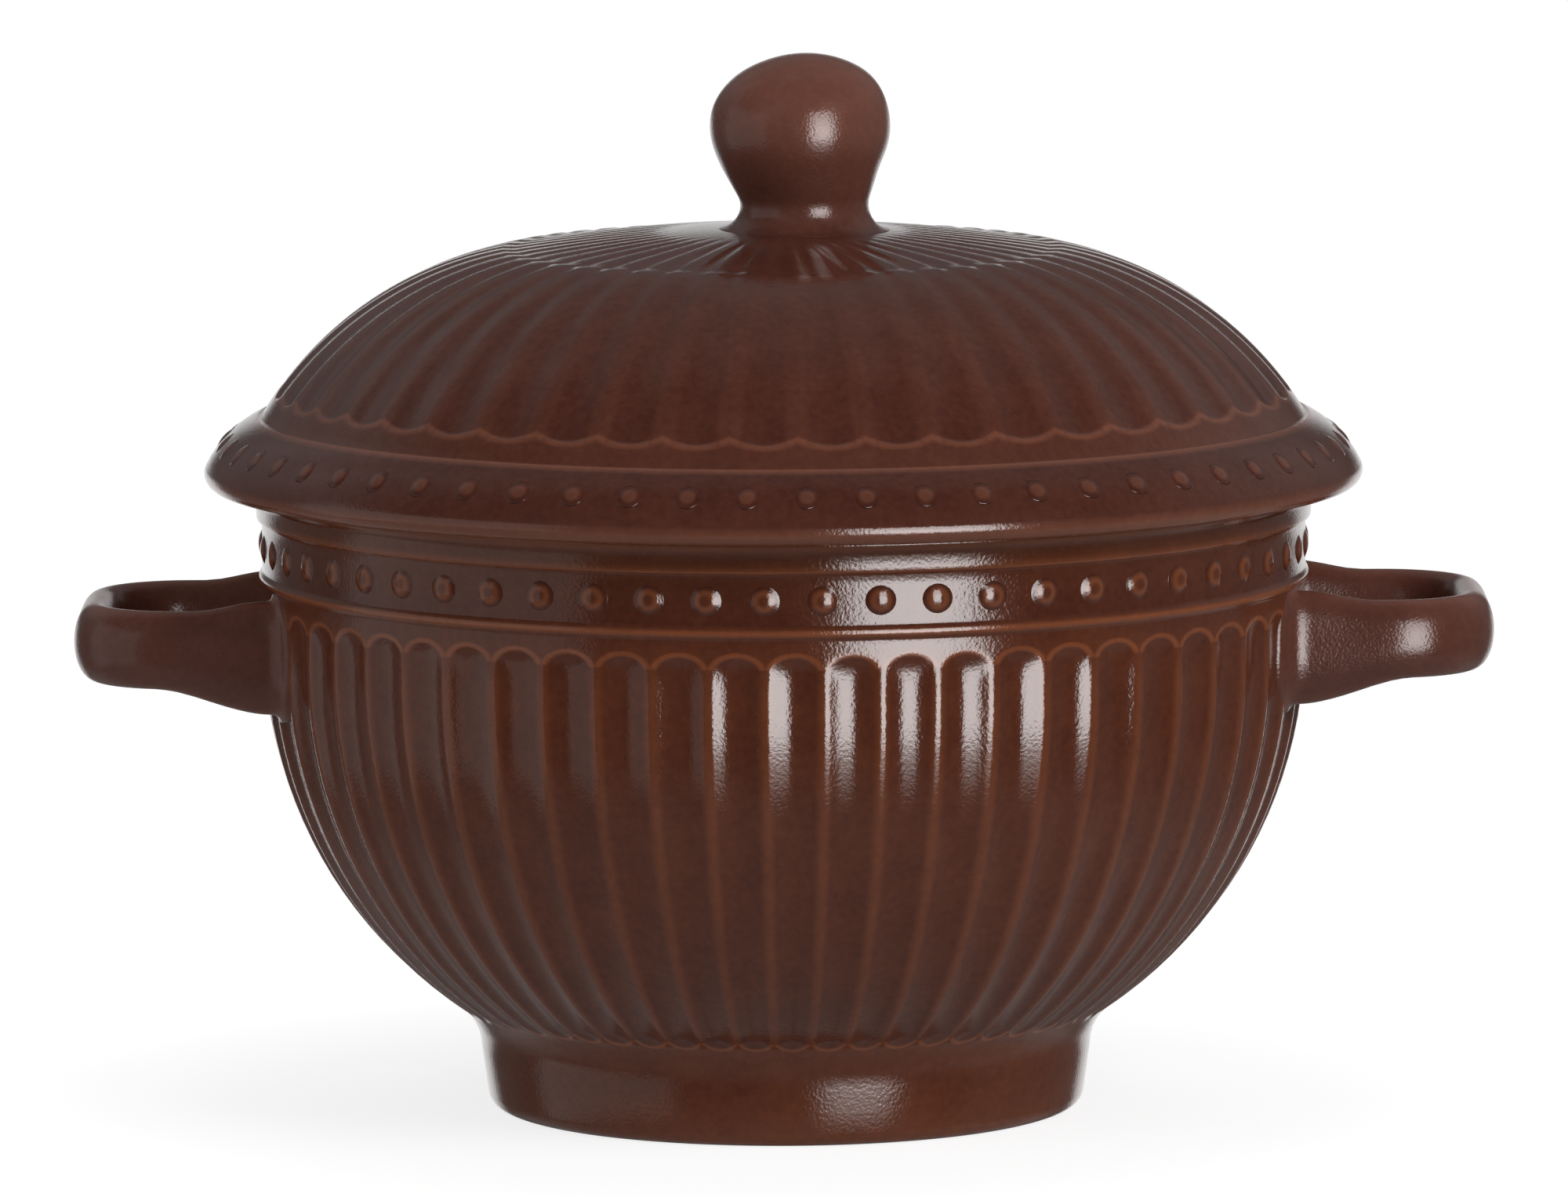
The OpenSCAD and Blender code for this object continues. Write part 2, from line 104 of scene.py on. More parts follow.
def linear_colour(hex_colour: str) -> tuple[float, float, float, float]:
    """Turns an sRGB colour into the linear one that Blender's sockets take.

    Args:
        hex_colour: the colour as #rrggbb.

    Returns:
        Linear red, green and blue, and an alpha of 1.
    """
    parts = [int(hex_colour[i : i + 2], 16) / 255 for i in (1, 3, 5)]
    linear = [p / 12.92 if p <= 0.04045 else ((p + 0.055) / 1.055) ** 2.4 for p in parts]
    return (linear[0], linear[1], linear[2], 1.0)


def add_node(
    tree: bpy.types.NodeTree,
    kind: str,
    settings: dict[str, Any] | None = None,
    inputs: dict[Any, Any] | None = None,
) -> bpy.types.Node:
    """Adds one shader node with its settings, values and links.

    Args:
        tree: the node tree to add to.
        kind: the node's type name, without the ShaderNode that it starts with.
        settings: attributes to set on the node.
        inputs: for each input's name or number, a value, an output to link it to, or a node
            whose first output it is linked to.

    Returns:
        The new node.
    """
    node = tree.nodes.new("ShaderNode" + kind)
    for name, value in (settings or {}).items():
        setattr(node, name, value)
    for name, value in (inputs or {}).items():
        if isinstance(value, bpy.types.Node):
            value = value.outputs[0]
        if isinstance(value, bpy.types.NodeSocket):
            tree.links.new(value, node.inputs[name])
        else:
            node.inputs[name].default_value = value
    return node


def walk_circle(circle: Circle, first: float, way: float, s: float) -> tuple[float, float, float, float]:
    """Finds a place on an arc.

    Args:
        circle: the circle that the arc lies on.
        first: the angle in radians where the arc starts.
        way: 1 where the angle grows along the arc, -1 where it falls.
        s: the length along the arc.

    Returns:
        Radius, height and the two parts of the outward normal.
    """
    radius, height, own_r = circle
    c, d = math.cos(first + way * s / own_r), math.sin(first + way * s / own_r)
    return (radius + own_r * c, height + own_r * d, -way * c, -way * d)


class Outline:
    """A profile in the plane of radius and height, walked by its length from where it starts.

    Its outward side is on the left of the way it runs. Each stretch says how thin the glaze is at its end,
    from 0 where it pools to 1 where it breaks over an edge; on the lid's crown and the knob's flare, the low
    values are painted shade.
    """

    def __init__(self, radius: float, height: float, thin: float) -> None:
        """Starts the outline at one place.

        Args:
            radius: distance from the axis.
            height: height above the table.
            thin: how thin the glaze is there.
        """
        self.end = (radius, height)
        self.length = 0.0
        self.starts: list[float] = []
        self.thins: list[float] = [thin]
        self.stretches: list[Stretch] = []
        self.stations: list[float] = [0.0]
        self.marks: dict[str, float] = {}

    def _add(self, length: float, rows: int, thin: float, stretch: Stretch) -> None:
        """Adds a stretch with its rows.

        Args:
            length: the stretch's length.
            rows: rows of the mesh on it, or 0 for none.
            thin: how thin the glaze is at its end.
            stretch: gives the place and the outward normal at a length along it.
        """
        self.starts.append(self.length)
        self.stretches.append(stretch)
        self.thins.append(thin)
        self.stations += [self.length + length * (i + 1) / rows for i in range(rows)]
        self.length += length
        self.end = stretch(length)[:2]

    def line(self, radius: float, height: float, rows: int, thin: float) -> None:
        """Runs straight to a place.

        Args:
            radius: distance of that place from the axis.
            height: its height.
            rows: rows of the mesh on this stretch, or 0 for none.
            thin: how thin the glaze is at its end.
        """
        r0, z0 = self.end
        length = math.hypot(radius - r0, height - z0)
        dr, dz = (radius - r0) / length, (height - z0) / length
        self._add(length, rows, thin, lambda s: (r0 + dr * s, z0 + dz * s, -dz, dr))

    def arc(self, circle: Circle, start: float, *parts: Part, mark: str = "") -> None:
        """Follows an arc, part by part.

        Args:
            circle: the circle that it lies on.
            start: angle where it starts.
            parts: its parts; each ends at less than its start on a hill, and at more in a hollow.
            mark: a name for its end.
        """
        for end, rows, thin in parts:
            way = 1.0 if end > start else -1.0
            length = math.radians(abs(end - start)) * circle[2]
            self._add(length, rows, thin, partial(walk_circle, circle, math.radians(start), way))
            start = end
        if mark:
            self.marks[mark] = self.length

    def at(self, s: float) -> tuple[float, float, float, float]:
        """Returns radius, height and the two parts of the outward normal at a length."""
        i = max(bisect_right(self.starts, s) - 1, 0)
        return self.stretches[i](s - self.starts[i])

    def thin_at(self, s: float) -> float:
        """Finds how thin the glaze is at a length.

        Args:
            s: the length.

        Returns:
            A share, 0 where the glaze pools and 1 where it breaks over an edge.
        """
        i = max(bisect_right(self.starts, s) - 1, 0)
        end = self.starts[i + 1] if i + 1 < len(self.starts) else self.length
        return blend(self.thins[i], self.thins[i + 1], (s - self.starts[i]) / (end - self.starts[i]))


def spin_round(bm: bmesh.types.BMesh, profile: list[bmesh.types.BMVert], steps: int) -> None:
    """Joins the vertices of a profile and spins it once round the upright axis.

    Args:
        bm: the bmesh of the profile.
        profile: its vertices in order.
        steps: columns of faces all round.
    """
    edges = [bm.edges.new(pair) for pair in zip(profile, profile[1:])]
    bmesh.ops.spin(
        bm,
        geom=profile + edges,
        cent=(0, 0, 0),
        axis=(0, 0, 1),
        angle=math.tau,
        steps=steps,
        use_merge=True,
        use_duplicate=False,
    )
    bmesh.ops.remove_doubles(bm, verts=bm.verts, dist=MERGE)


def make_piece(
    name: str, bm: bmesh.types.BMesh, glaze: bpy.types.Material, body: str, replaced: tuple[str, ...]
) -> bpy.types.Object:
    """Makes a finished bmesh a piece of the cup.

    Args:
        name: the piece's name.
        bm: its mesh, which is freed.
        glaze: its material.
        body: the CAD body that it moves with.
        replaced: the CAD nodes that it stands for.

    Returns:
        The piece.
    """
    mesh = bpy.data.meshes.new(name)
    bm.to_mesh(mesh)
    bm.free()
    mesh.shade_smooth()
    mesh.materials.append(glaze)
    piece = bpy.data.objects.new(name, mesh)
    bpy.context.scene.collection.objects.link(piece)
    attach(piece, body)
    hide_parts(*replaced)
    log.info("%s: %d faces, rides on %s", name, len(mesh.polygons), body)
    return piece


@dataclass(frozen=True)
class Spot:
    """Where one vertex of a turned piece goes, and its glaze values.

    The glaze values are the distance sideways from a flute's middle, the distance past the middle
    of its round end, and how thin the glaze is between flutes. The first two are scaled so that
    a flute's edge lies FLUTE_HALF_W from its middle all round.
    """

    radius: float
    height: float
    angle: float
    glaze: Triple


FLUTE_HALF_W = 2.8
# Stands for the distance past a flute's end on surfaces that have no flutes
PLAIN = 10.0


@dataclass
class TurnedPiece:
    """A piece turned about the axis from an outline, with relief that its subclass gives."""

    name: str = ""
    body: str = ""
    replaced: tuple[str, ...] = ()
    flutes: int = 1
    # Columns of vertices in a flute, as shares of its pitch
    phases: tuple[float, ...] = (0.0,)
    turn: float = 0.0

    def __post_init__(self) -> None:
        """Draws the outline and chooses the mesh's rows."""
        self.draw()
        self.lengths = sorted(self.outline.stations + self.relief_rows())

    def draw(self) -> None:
        """Draws the outline."""
        raise NotImplementedError

    def relief_rows(self) -> list[float]:
        """Returns the lengths of the rows that the outline's own stretches leave out."""
        return []

    def spot(self, s: float, phase: float, angle: float) -> Spot:
        """Finds where a vertex goes.

        Args:
            s: its length along the outline.
            phase: its share of a flute's pitch.
            angle: its angle about the axis.

        Returns:
            Its spot.
        """
        radius, height, _, _ = self.outline.at(s)
        return Spot(radius, height, angle, (0.0, PLAIN, self.outline.thin_at(s)))

    def after(self, bm: bmesh.types.BMesh) -> None:
        """Moves vertices of the finished mesh, where a subclass needs to."""

    def build(self, glaze: bpy.types.Material) -> bpy.types.Object:
        """Turns the outline and sets every vertex to its spot.

        Args:
            glaze: the material for the whole piece.

        Returns:
            The piece.
        """
        bm = bmesh.new()
        row_layer = bm.verts.layers.int.new("row")
        glaze_layer = bm.verts.layers.float_vector.new(GLAZE_MAP)
        profile = []
        for row, s in enumerate(self.lengths):
            radius, height, _, _ = self.outline.at(s)
            vert = bm.verts.new((0, -max(radius, 0.0) * MM, height * MM))
            vert[row_layer] = row
            profile.append(vert)
        columns = self.flutes * len(self.phases)
        spin_round(bm, profile, columns)
        for vert in bm.verts:
            at_pole = math.hypot(vert.co.x, vert.co.y) < AXIS
            turns = 0.0 if at_pole else math.atan2(vert.co.x, -vert.co.y) / math.tau
            column = round(turns * columns) % columns
            flute, share = divmod(column, len(self.phases))
            phase = self.phases[share]
            angle = self.turn + (flute + phase) * 360 / self.flutes
            spot = self.spot(self.lengths[vert[row_layer]], phase, angle)
            radius = 0.0 if at_pole else spot.radius * MM
            a = math.radians(spot.angle)
            vert.co = Vector((radius * math.sin(a), -radius * math.cos(a), spot.height * MM))
            vert[glaze_layer] = spot.glaze
        self.after(bm)
        bmesh.ops.recalc_face_normals(bm, faces=bm.faces)
        return make_piece(self.name, bm, glaze, self.body, self.replaced)


@dataclass
class CupBody(TurnedPiece):
    """The bowl and its foot ring in one skin, with flutes that end in round arches under a line."""

    name: str = "cup_body"
    body: str = "cup"
    replaced: tuple[str, ...] = ("cup_bowl", "cup_foot_ring")
    flutes: int = 58
    phases: tuple[float, ...] = (
        0, 0.035, 0.07, 0.11, 0.17, 0.25, 0.36, 0.5, 0.64, 0.75, 0.83, 0.89, 0.93, 0.965,
    )
    turn: float = 4.24
    # Width of a flute with its ridge at the arches
    pitch_w: float = 6.348
    # Heights: standing floor of the inside, widest place of the bowl, rim
    floor_h: float = 12.2
    belly_h: float = 52.9
    rim_h: float = 71.0
    # Radii: mouth, outer end of the rim's flat top, bowl, and the curves inside and outside
    mouth_r: float = 54.3
    rim_flat_r: float = 59.1
    bowl_r: float = 58.6
    inner_curve_r: float = 40.7
    belly_curve_r: float = 49.9
    # Rounding of the rim and of the foot's inner edge
    rim_round_r: float = 0.9
    # Small circles under the rim, at the collar and round the line below the beads
    rim_cove: Circle = (60.0, 68.93, 0.6)
    collar: Circle = (70.106, 66.9, 10.906)
    collar_edge: Circle = (58.854, 67.2, 0.35)
    collar_cove: Circle = (58.854, 66.6, 0.25)
    line_round: Circle = (58.05, 60.4, 0.9)
    line_cove_r: float = 0.5
    # From the line's middle to the middle of the cove beside it, and the angle where they meet
    line_cove_rise: float = 0.926
    line_turn: float = 41.4
    # The foot: its cove under the bowl, and its side, standing edge and recess
    foot_cove: Circle = (40.3, 6.789, 6.0)
    foot_side: Place = (33.58, 1.63)
    foot_outer: Circle = (31.7, 1.9, 1.9)
    foot_edge_r: float = 28.8
    recess_h: float = 6.8
    recess_cove_r: float = 0.5
    # Height of an arch over the place where the flute's sides end
    arch_h: float = 1.9
    # Length of the flutes from their arches down to their tips
    flute_length: float = 54.1
    # How far the wall is still worked as fluted past the tips
    tip_margin: float = 2.0
    # Depth of a flute under its arch, and at its tip
    top_depth: float = 0.67
    foot_depth: float = 0.36
    # Share of that depth that a flute has at its arch, and the length over which it gets the rest
    scoop_share: float = 0.6
    scoop_length: float = 4.0
    # Share of a flute's half width over which its floor is round, with straighter sides beyond
    round_share: float = 1.0
    ridge_softness: float = 0.09
    # How far over and under the arches the rows of vertices bend with them
    arch_zone: Span = (1.574, 4.4)
    # Rows round the arches, by their height over the top of an arch
    arch_rows: tuple[float, ...] = (
        1.15, 0.8, 0.5, 0.28, 0.12, 0, -0.12, -0.28, -0.5, -0.8, -1.2, -1.7, -2.3, -3.0, -3.7, -4.4,
    )
    # Rows down a flute, rows round its tip with their spacing and how far over the tip they start,
    # and rows from there to the foot
    flute_rows: int = 20
    tip_rows: int = 9
    tip_row_step: float = 0.4
    tip_zone: float = 3.2
    foot_rows: int = 4

    def draw(self) -> None:
        """Draws the outline from the middle of the floor, over the rim and down to the foot."""
        path = self.outline = Outline(0, self.floor_h, 0.2)
        self.draw_inside()
        self.draw_bands()
        path.line(self.bowl_r, self.belly_h, rows=0, thin=0.5)
        belly = (self.bowl_r - self.belly_curve_r, self.belly_h, self.belly_curve_r)
        path.arc(belly, 0, (-55.58, 0, 0.42))
        self.draw_foot()

    def draw_inside(self) -> None:
        """Draws the floor, the inner wall and the rim."""
        path = self.outline
        floor_r = self.mouth_r - self.inner_curve_r
        round_r, round_h = self.rim_round_r, self.rim_h - self.rim_round_r
        path.line(floor_r, self.floor_h, rows=3, thin=0.2)
        path.arc((floor_r, self.belly_h, self.inner_curve_r), -90, (0, 10, 0.2))
        path.line(self.mouth_r, round_h, rows=3, thin=0.3)
        path.arc((self.mouth_r + round_r, round_h, round_r), 180, (90, 4, 0.7))
        path.line(self.rim_flat_r, self.rim_h, rows=2, thin=0.6)
        path.arc((self.rim_flat_r, round_h, round_r), 90, (0, 4, 1.0), (-52.2, 2, 0.5))

    def draw_bands(self) -> None:
        """Draws the collar, the band of the beads and the line below it."""
        path = self.outline
        turn, cove_r = self.line_turn, self.line_cove_r
        over = (self.bowl_r + cove_r, self.line_round[1] + self.line_cove_rise, cove_r)
        under = (self.bowl_r + cove_r, self.line_round[1] - self.line_cove_rise, cove_r)
        path.arc(self.rim_cove, 127.8, (169, 2, 0.4))
        path.arc(self.collar, 168.9, (175, 3, 0.4), (178.4, 2, 0.75))
        path.arc(self.collar_edge, 0, (-60, 2, 0.9), (-90, 1, 0.8))
        path.arc(self.collar_cove, 90, (180, 2, 0.25))
        path.line(self.bowl_r, over[1], rows=4, thin=0.1)
        path.arc(over, 180, (180 + turn, 2, 0.15))
        path.arc(self.line_round, turn, (25, 1, 0.3), (0, 3, 0.95), (-20, 2, 0.7), (-turn, 2, 0.3))
        path.arc(under, 180 - turn, (180, 2, 0.2), mark="under_line")

    def draw_foot(self) -> None:
        """Draws the foot ring and the recess under the bowl."""
        path = self.outline
        round_r, cove_r = self.rim_round_r, self.recess_cove_r
        inner_r = self.foot_edge_r - round_r
        recess_cove = (inner_r - cove_r, self.recess_h - cove_r, cove_r)
        path.arc(self.foot_cove, 124.42, (180, 0, 0.25), mark="foot_top")
        path.line(*self.foot_side, rows=2, thin=0.35)
        path.arc(self.foot_outer, -8, (-90, 5, 0.8))
        path.line(self.foot_edge_r, 0, rows=1, thin=0.8)
        path.arc((self.foot_edge_r, round_r, round_r), -90, (-180, 3, 0.4))
        path.line(inner_r, recess_cove[1], rows=1, thin=0.2)
        path.arc(recess_cove, 0, (90, 2, 0.2))
        path.line(0, self.recess_h, rows=2, thin=0.2)

    def relief_rows(self) -> list[float]:
        """Chooses the rows over the arches, down the flutes and round their lower tips.

        Returns:
            The rows' lengths along the outline.
        """
        self.flute_top = self.outline.marks["under_line"] + self.arch_zone[0]
        self.flute_tip = self.flute_top + self.flute_length
        rows = [self.flute_top - v for v in self.arch_rows]
        first, last = rows[-1], self.flute_tip - self.tip_zone
        count = self.flute_rows
        rows += [blend(first, last, (i + 1) / count) for i in range(count)]
        rows += [last + self.tip_row_step * (i + 1) for i in range(self.tip_rows)]
        last, foot, count = rows[-1], self.outline.marks["foot_top"], self.foot_rows
        return rows + [blend(last, foot, (i + 1) / count) for i in range(count)]

    def spot(self, s: float, phase: float, angle: float) -> Spot:
        """Sinks the flutes into the wall, with the rows of vertices bent along the arches.

        Args:
            s: the vertex's length along the outline.
            phase: its share of a flute's pitch.
            angle: its angle about the axis.

        Returns:
            Its spot.
        """
        top, tip, half_w = self.flute_top, self.flute_tip, FLUTE_HALF_W
        if not self.outline.marks["under_line"] + HAIR < s < tip + self.tip_margin:
            return super().spot(s, phase, angle)
        side = abs(phase - 0.5) * self.pitch_w
        above = top - s
        if above > -self.arch_zone[1]:
            bend = (math.sqrt(max(half_w**2 - side**2, 0)) / half_w - 1) * self.arch_h
            zone = self.arch_zone[0] if above > 0 else self.arch_zone[1]
            s -= bend * (1 - abs(above) / zone)
        radius, height, out_r, out_z = self.outline.at(s)
        past_arch = (top - s) / self.arch_h * half_w + half_w
        past_tip = (s - tip) / (radius / self.bowl_r) + half_w
        past_end = max(past_arch, past_tip, 0.0)
        across = math.hypot(side, past_end) / half_w
        depth = blend(self.top_depth, self.foot_depth, (s - top) / (tip - top))
        depth *= blend(self.scoop_share, 1.0, rise(s - top, 0, self.scoop_length))
        k = self.round_share
        climb = (math.hypot(across, k) - k) / (math.hypot(1, k) - k)
        sunk = soft_positive(depth * (1 - climb), self.ridge_softness)
        glaze = (side, past_end, self.outline.thin_at(s))
        return Spot(radius - out_r * sunk, height - out_z * sunk, angle, glaze)


@dataclass
class LidBody(TurnedPiece):
    """The lid's dome, rim and locating ring in one skin, with flutes that end in a scalloped edge."""

    name: str = "lid_body"
    body: str = "lid"
    replaced: tuple[str, ...] = ("lid_dome", "lid_locating_ring")
    flutes: int = 48
    phases: tuple[float, ...] = (
        0, 0.035, 0.08, 0.14, 0.21, 0.29, 0.39, 0.5, 0.61, 0.71, 0.79, 0.86, 0.92, 0.965,
    )
    turn: float = 1.57
    # Width of a flute at the scalloped edge
    pitch_w: float = 7.33
    # Heights: top of the dome, seat, lower edge and inner top of the ring, and ring's join above
    crown_h: float = 99.2
    seat_h: float = 71.3
    ring_low_h: float = 66.3
    ring_top_h: float = 75.9
    hollow_h: float = 79.16
    # The dome's two curves, the angle at which they meet, and its wall
    crown_curve_r: float = 195.0
    shoulder: Circle = (24.08, 57.19, 40.4)
    dome_turn: float = 81.09
    dome_wall: float = 4.4
    # Circles of the step under the scalloped edge, the sloping band and the lip
    step_cove: Circle = (58.703, 78.491, 0.25)
    step_edge: Circle = (58.977, 77.739, 0.55)
    band: Circle = (54.09, 67.34, 12.0)
    band_turn: float = 26.35
    lip: Circle = (63.5, 72.0, 1.5)
    # Radii of the seat's outer end and of the locating ring, and the ring's roundings
    seat_r: float = 62.0
    ring_outer_r: float = 52.6
    ring_inner_r: float = 48.8
    ring_cove_r: float = 0.5
    ring_round_r: float = 0.9
    # Length along the dome from its top to the lowest places of the scallops
    scallop_s: float = 62.65
    scallop_curve_r: float = 7.56
    # How far over and under the scallops the rows of vertices bend with them
    scallop_zone: Span = (6.5, 2.3)
    # Distance from the scalloped edge over which a flute gets its depth
    scallop_wall_w: float = 0.5
    # Depth of the flutes where they are narrow, and where they are wide
    high_depth: float = 0.07
    low_depth: float = 0.34
    # Depth of the narrow creases in which the flutes run out round the knob
    crease_depth: float = 0.1
    # Radii between which the creases begin and end, the flutes begin, and the flutes widen
    crease_start: Span = (12.5, 17.0)
    crease_end: Span = (20.0, 33.0)
    flute_start: Span = (14.0, 23.0)
    widening: Span = (23.0, 52.0)
    # Power of a flute's wave, and the share of the pitch from its middle to its dark part's edge,
    # each where the flutes are narrow and where they are wide
    wave_power: Span = (2.6, 1.0)
    dark_share: Span = (0.2, 0.36)
    # How much thinner the glaze is along the scalloped edge, and how far off that fades out
    edge_thin: float = 0.45
    edge_zone: Span = (0.15, 0.65)
    # Rows under the knob, the first of the even rows down the dome, and their number
    knob_rows: tuple[float, ...] = (4.0, 8.0)
    first_row: float = 9.5
    dome_rows: int = 34
    # Rows round the scallops, by their distance over the lowest place of one
    scallop_rows: tuple[float, ...] = (
        6.5, 5.0, 3.8, 2.8, 2.0, 1.4, 0.95, 0.65, 0.45, 0.3, 0.15, 0, -0.12, -0.3, -0.6, -1.0, -1.6,
    )

    def draw(self) -> None:
        """Draws the outline from the top of the dome, round the lip and up under the dome."""
        # The crown's low thinness, 0.1 at the top and 0.12 where it meets the shoulder, is painted shade: it
        # darkens the upward-facing top round the knob
        path = self.outline = Outline(0, self.crown_h, 0.1)
        crown = (0.0, self.crown_h - self.crown_curve_r, self.crown_curve_r)
        turn = self.dome_turn
        path.arc(crown, 90, (turn, 0, 0.12))
        path.arc(self.shoulder, turn, (31.6, 0, 0.3), mark="ledge")
        path.arc(self.step_cove, 211.6, (290, 3, 0.3))
        path.arc(self.step_edge, 110, (85, 2, 1.0), (62.7, 1, 0.7))
        path.arc(self.band, 64.5, (60, 1, 0.1), (self.band_turn, 6, 0.2))
        path.arc(self.lip, self.band_turn, (-10, 3, 0.75), (-60, 3, 0.9), (-140, 3, 0.5))
        path.line(self.seat_r, self.seat_h, rows=1, thin=0.3)
        self.draw_ring()
        under = [(r, h, own_r - self.dome_wall) for r, h, own_r in (self.shoulder, crown)]
        path.arc(under[0], 37.6, (turn, 6, 0.2))
        path.arc(under[1], turn, (90, 3, 0.2))

    def draw_ring(self) -> None:
        """Draws the seat and the locating ring that hangs inside it."""
        path = self.outline
        outer, inner, seat_h = self.ring_outer_r, self.ring_inner_r, self.seat_h
        low, top, cove, edge = self.ring_low_h, self.ring_top_h, self.ring_cove_r, self.ring_round_r
        path.line(outer + cove, seat_h, rows=2, thin=0.2)
        path.arc((outer + cove, seat_h - cove, cove), 90, (180, 2, 0.1))
        path.line(outer, low + edge, rows=1, thin=0.3)
        path.arc((outer - edge, low + edge, edge), 0, (-90, 3, 0.7))
        path.line(inner + edge, low, rows=1, thin=0.7)
        path.arc((inner + edge, low + edge, edge), -90, (-180, 3, 0.3))
        path.line(inner, top - edge, rows=1, thin=0.2)
        path.arc((inner + edge, top - edge, edge), 180, (90, 3, 0.5))
        path.line(outer - cove, top, rows=1, thin=0.1)
        path.arc((outer - cove, top + cove, cove), -90, (0, 2, 0.1))
        path.line(outer, self.hollow_h, rows=1, thin=0.2)

    def relief_rows(self) -> list[float]:
        """Chooses the rows from the knob down the flutes and over the scalloped edge.

        Returns:
            The rows' lengths along the outline.
        """
        last, count = self.scallop_s - self.scallop_rows[0], self.dome_rows
        rows = list(self.knob_rows)
        rows += [blend(self.first_row, last, i / count) for i in range(count)]
        return rows + [self.scallop_s - v for v in self.scallop_rows] + [self.outline.marks["ledge"]]

    def spot(self, s: float, phase: float, angle: float) -> Spot:
        """Sinks the flutes into the dome, with the rows of vertices bent along the scallops.

        Args:
            s: the vertex's length along the outline.
            phase: its share of a flute's pitch.
            angle: its angle about the axis.

        Returns:
            Its spot.
        """
        if s > self.outline.marks["ledge"] - HAIR:
            return super().spot(s, phase, angle)
        share = abs(phase - 0.5)
        side = share * self.pitch_w
        bend = math.sqrt(self.scallop_curve_r**2 - side**2) - self.scallop_curve_r
        above = self.scallop_s - s
        zone = self.scallop_zone[0] if above > 0 else self.scallop_zone[1]
        s += bend * max(1 - abs(above) / zone, 0)
        radius, height, out_r, out_z = self.outline.at(s)
        inside = self.scallop_s + bend - s
        wide = rise(radius, *self.widening)
        depth = self.crease_depth * rise(radius, *self.crease_start) * (1 - rise(radius, *self.crease_end))
        depth += blend(self.high_depth, self.low_depth, wide) * rise(radius, *self.flute_start)
        wave = (0.5 + 0.5 * math.cos(math.tau * share)) ** blend(*self.wave_power, wide)
        sunk = depth * wave * rise(inside, 0, self.scallop_wall_w)
        edge = share / blend(*self.dark_share, wide) * FLUTE_HALF_W
        past_end = max(math.sqrt(max(FLUTE_HALF_W**2 - edge**2, 0)) - inside, 0.0)
        thin = self.outline.thin_at(s) + self.edge_thin * (1 - rise(abs(inside), *self.edge_zone))
        return Spot(radius - out_r * sunk, height - out_z * sunk, angle, (edge, past_end, thin))


@dataclass
class Knob(TurnedPiece):
    """The round knob on its waisted neck, which stands a little out of true."""

    name: str = "lid_grip"
    body: str = "lid"
    replaced: tuple[str, ...] = ("lid_knob",)
    flutes: int = 16
    phases: tuple[float, ...] = (0, 0.125, 0.25, 0.375, 0.5, 0.625, 0.75, 0.875)
    # Heights: knob's top and widest place, neck's narrowest place, end of the flare in the dome
    top_h: float = 118.7
    wide_h: float = 110.6
    neck_h: float = 101.6
    flare_h: float = 98.2
    # Radii: knob, its three curves and the end of the flare
    knob_r: float = 9.95
    top_curve_r: float = 12.6
    side_curve_r: float = 7.455
    under_curve_r: float = 8.3
    flare_r: float = 10.1
    # The neck: end of its straight side, and the circles of its curve and its flare
    neck_side: Place = (7.13, 102.72)
    neck_curve: Circle = (9.475, 101.6, 2.6)
    flare_curve: Circle = (9.5, 101.6, 2.63)
    # The knob stands to the right of the axis, its top leans further to the right between two
    # heights, and so does its neck, below another height
    shift: float = 2.03
    top_lean: float = 0.8
    top_lean_zone: Span = (111.6, 120.7)
    neck_lean: float = 0.45
    neck_lean_h: float = 106.6
    # How many times wider than the outline the knob is, and the neck with its flare, and the
    # height over which it is all the knob's
    top_stretch: float = 1.016
    neck_stretch: float = 1.048
    stretch_h: float = 107.6

    def draw(self) -> None:
        """Draws the outline from the knob's top down to its flare on the dome."""
        path = self.outline = Outline(0, self.top_h, 0.6)
        top_r, side_r, under_r = self.top_curve_r, self.side_curve_r, self.under_curve_r
        path.arc((0.0, self.top_h - top_r, top_r), 90, (61, 9, 0.6))
        path.arc((self.knob_r - side_r, self.wide_h, side_r), 61, (0, 10, 0.72))
        path.arc((self.knob_r - under_r, self.wide_h, under_r), 0, (-25.6, 6, 0.6))
        path.line(*self.neck_side, rows=5, thin=0.48)
        path.arc(self.neck_curve, 154.4, (180, 3, 0.4))
        # The flare's low thinness matches the crown's and is painted shade round the foot of the neck
        path.arc(self.flare_curve, 180, (262, 8, 0.12))
        path.line(self.flare_r, self.flare_h, rows=1, thin=0.1)
        path.line(0, self.flare_h, rows=2, thin=0.1)

    def after(self, bm: bmesh.types.BMesh) -> None:
        """Leans the knob, and lets its flare down on the dome all round.

        Args:
            bm: the knob's mesh, centred on the axis.
        """
        neck_h = self.neck_h
        for vert in bm.verts:
            height = vert.co.z / MM
            shift = self.shift + self.top_lean * rise(height, *self.top_lean_zone)
            shift += self.neck_lean * (1 - rise(height, neck_h, self.neck_lean_h))
            share = (height - neck_h) / (self.stretch_h - neck_h)
            stretch = blend(self.neck_stretch, self.top_stretch, share)
            centred_r = vert.co.xy.length * stretch / MM
            vert.co.x = vert.co.x * stretch + shift * MM
            vert.co.y *= stretch
            drop = (centred_r**2 - (vert.co.xy.length / MM) ** 2) / (2 * LidBody.crown_curve_r)
            vert.co.z += drop * (1 - rise(height, LidBody.crown_h, neck_h)) * MM


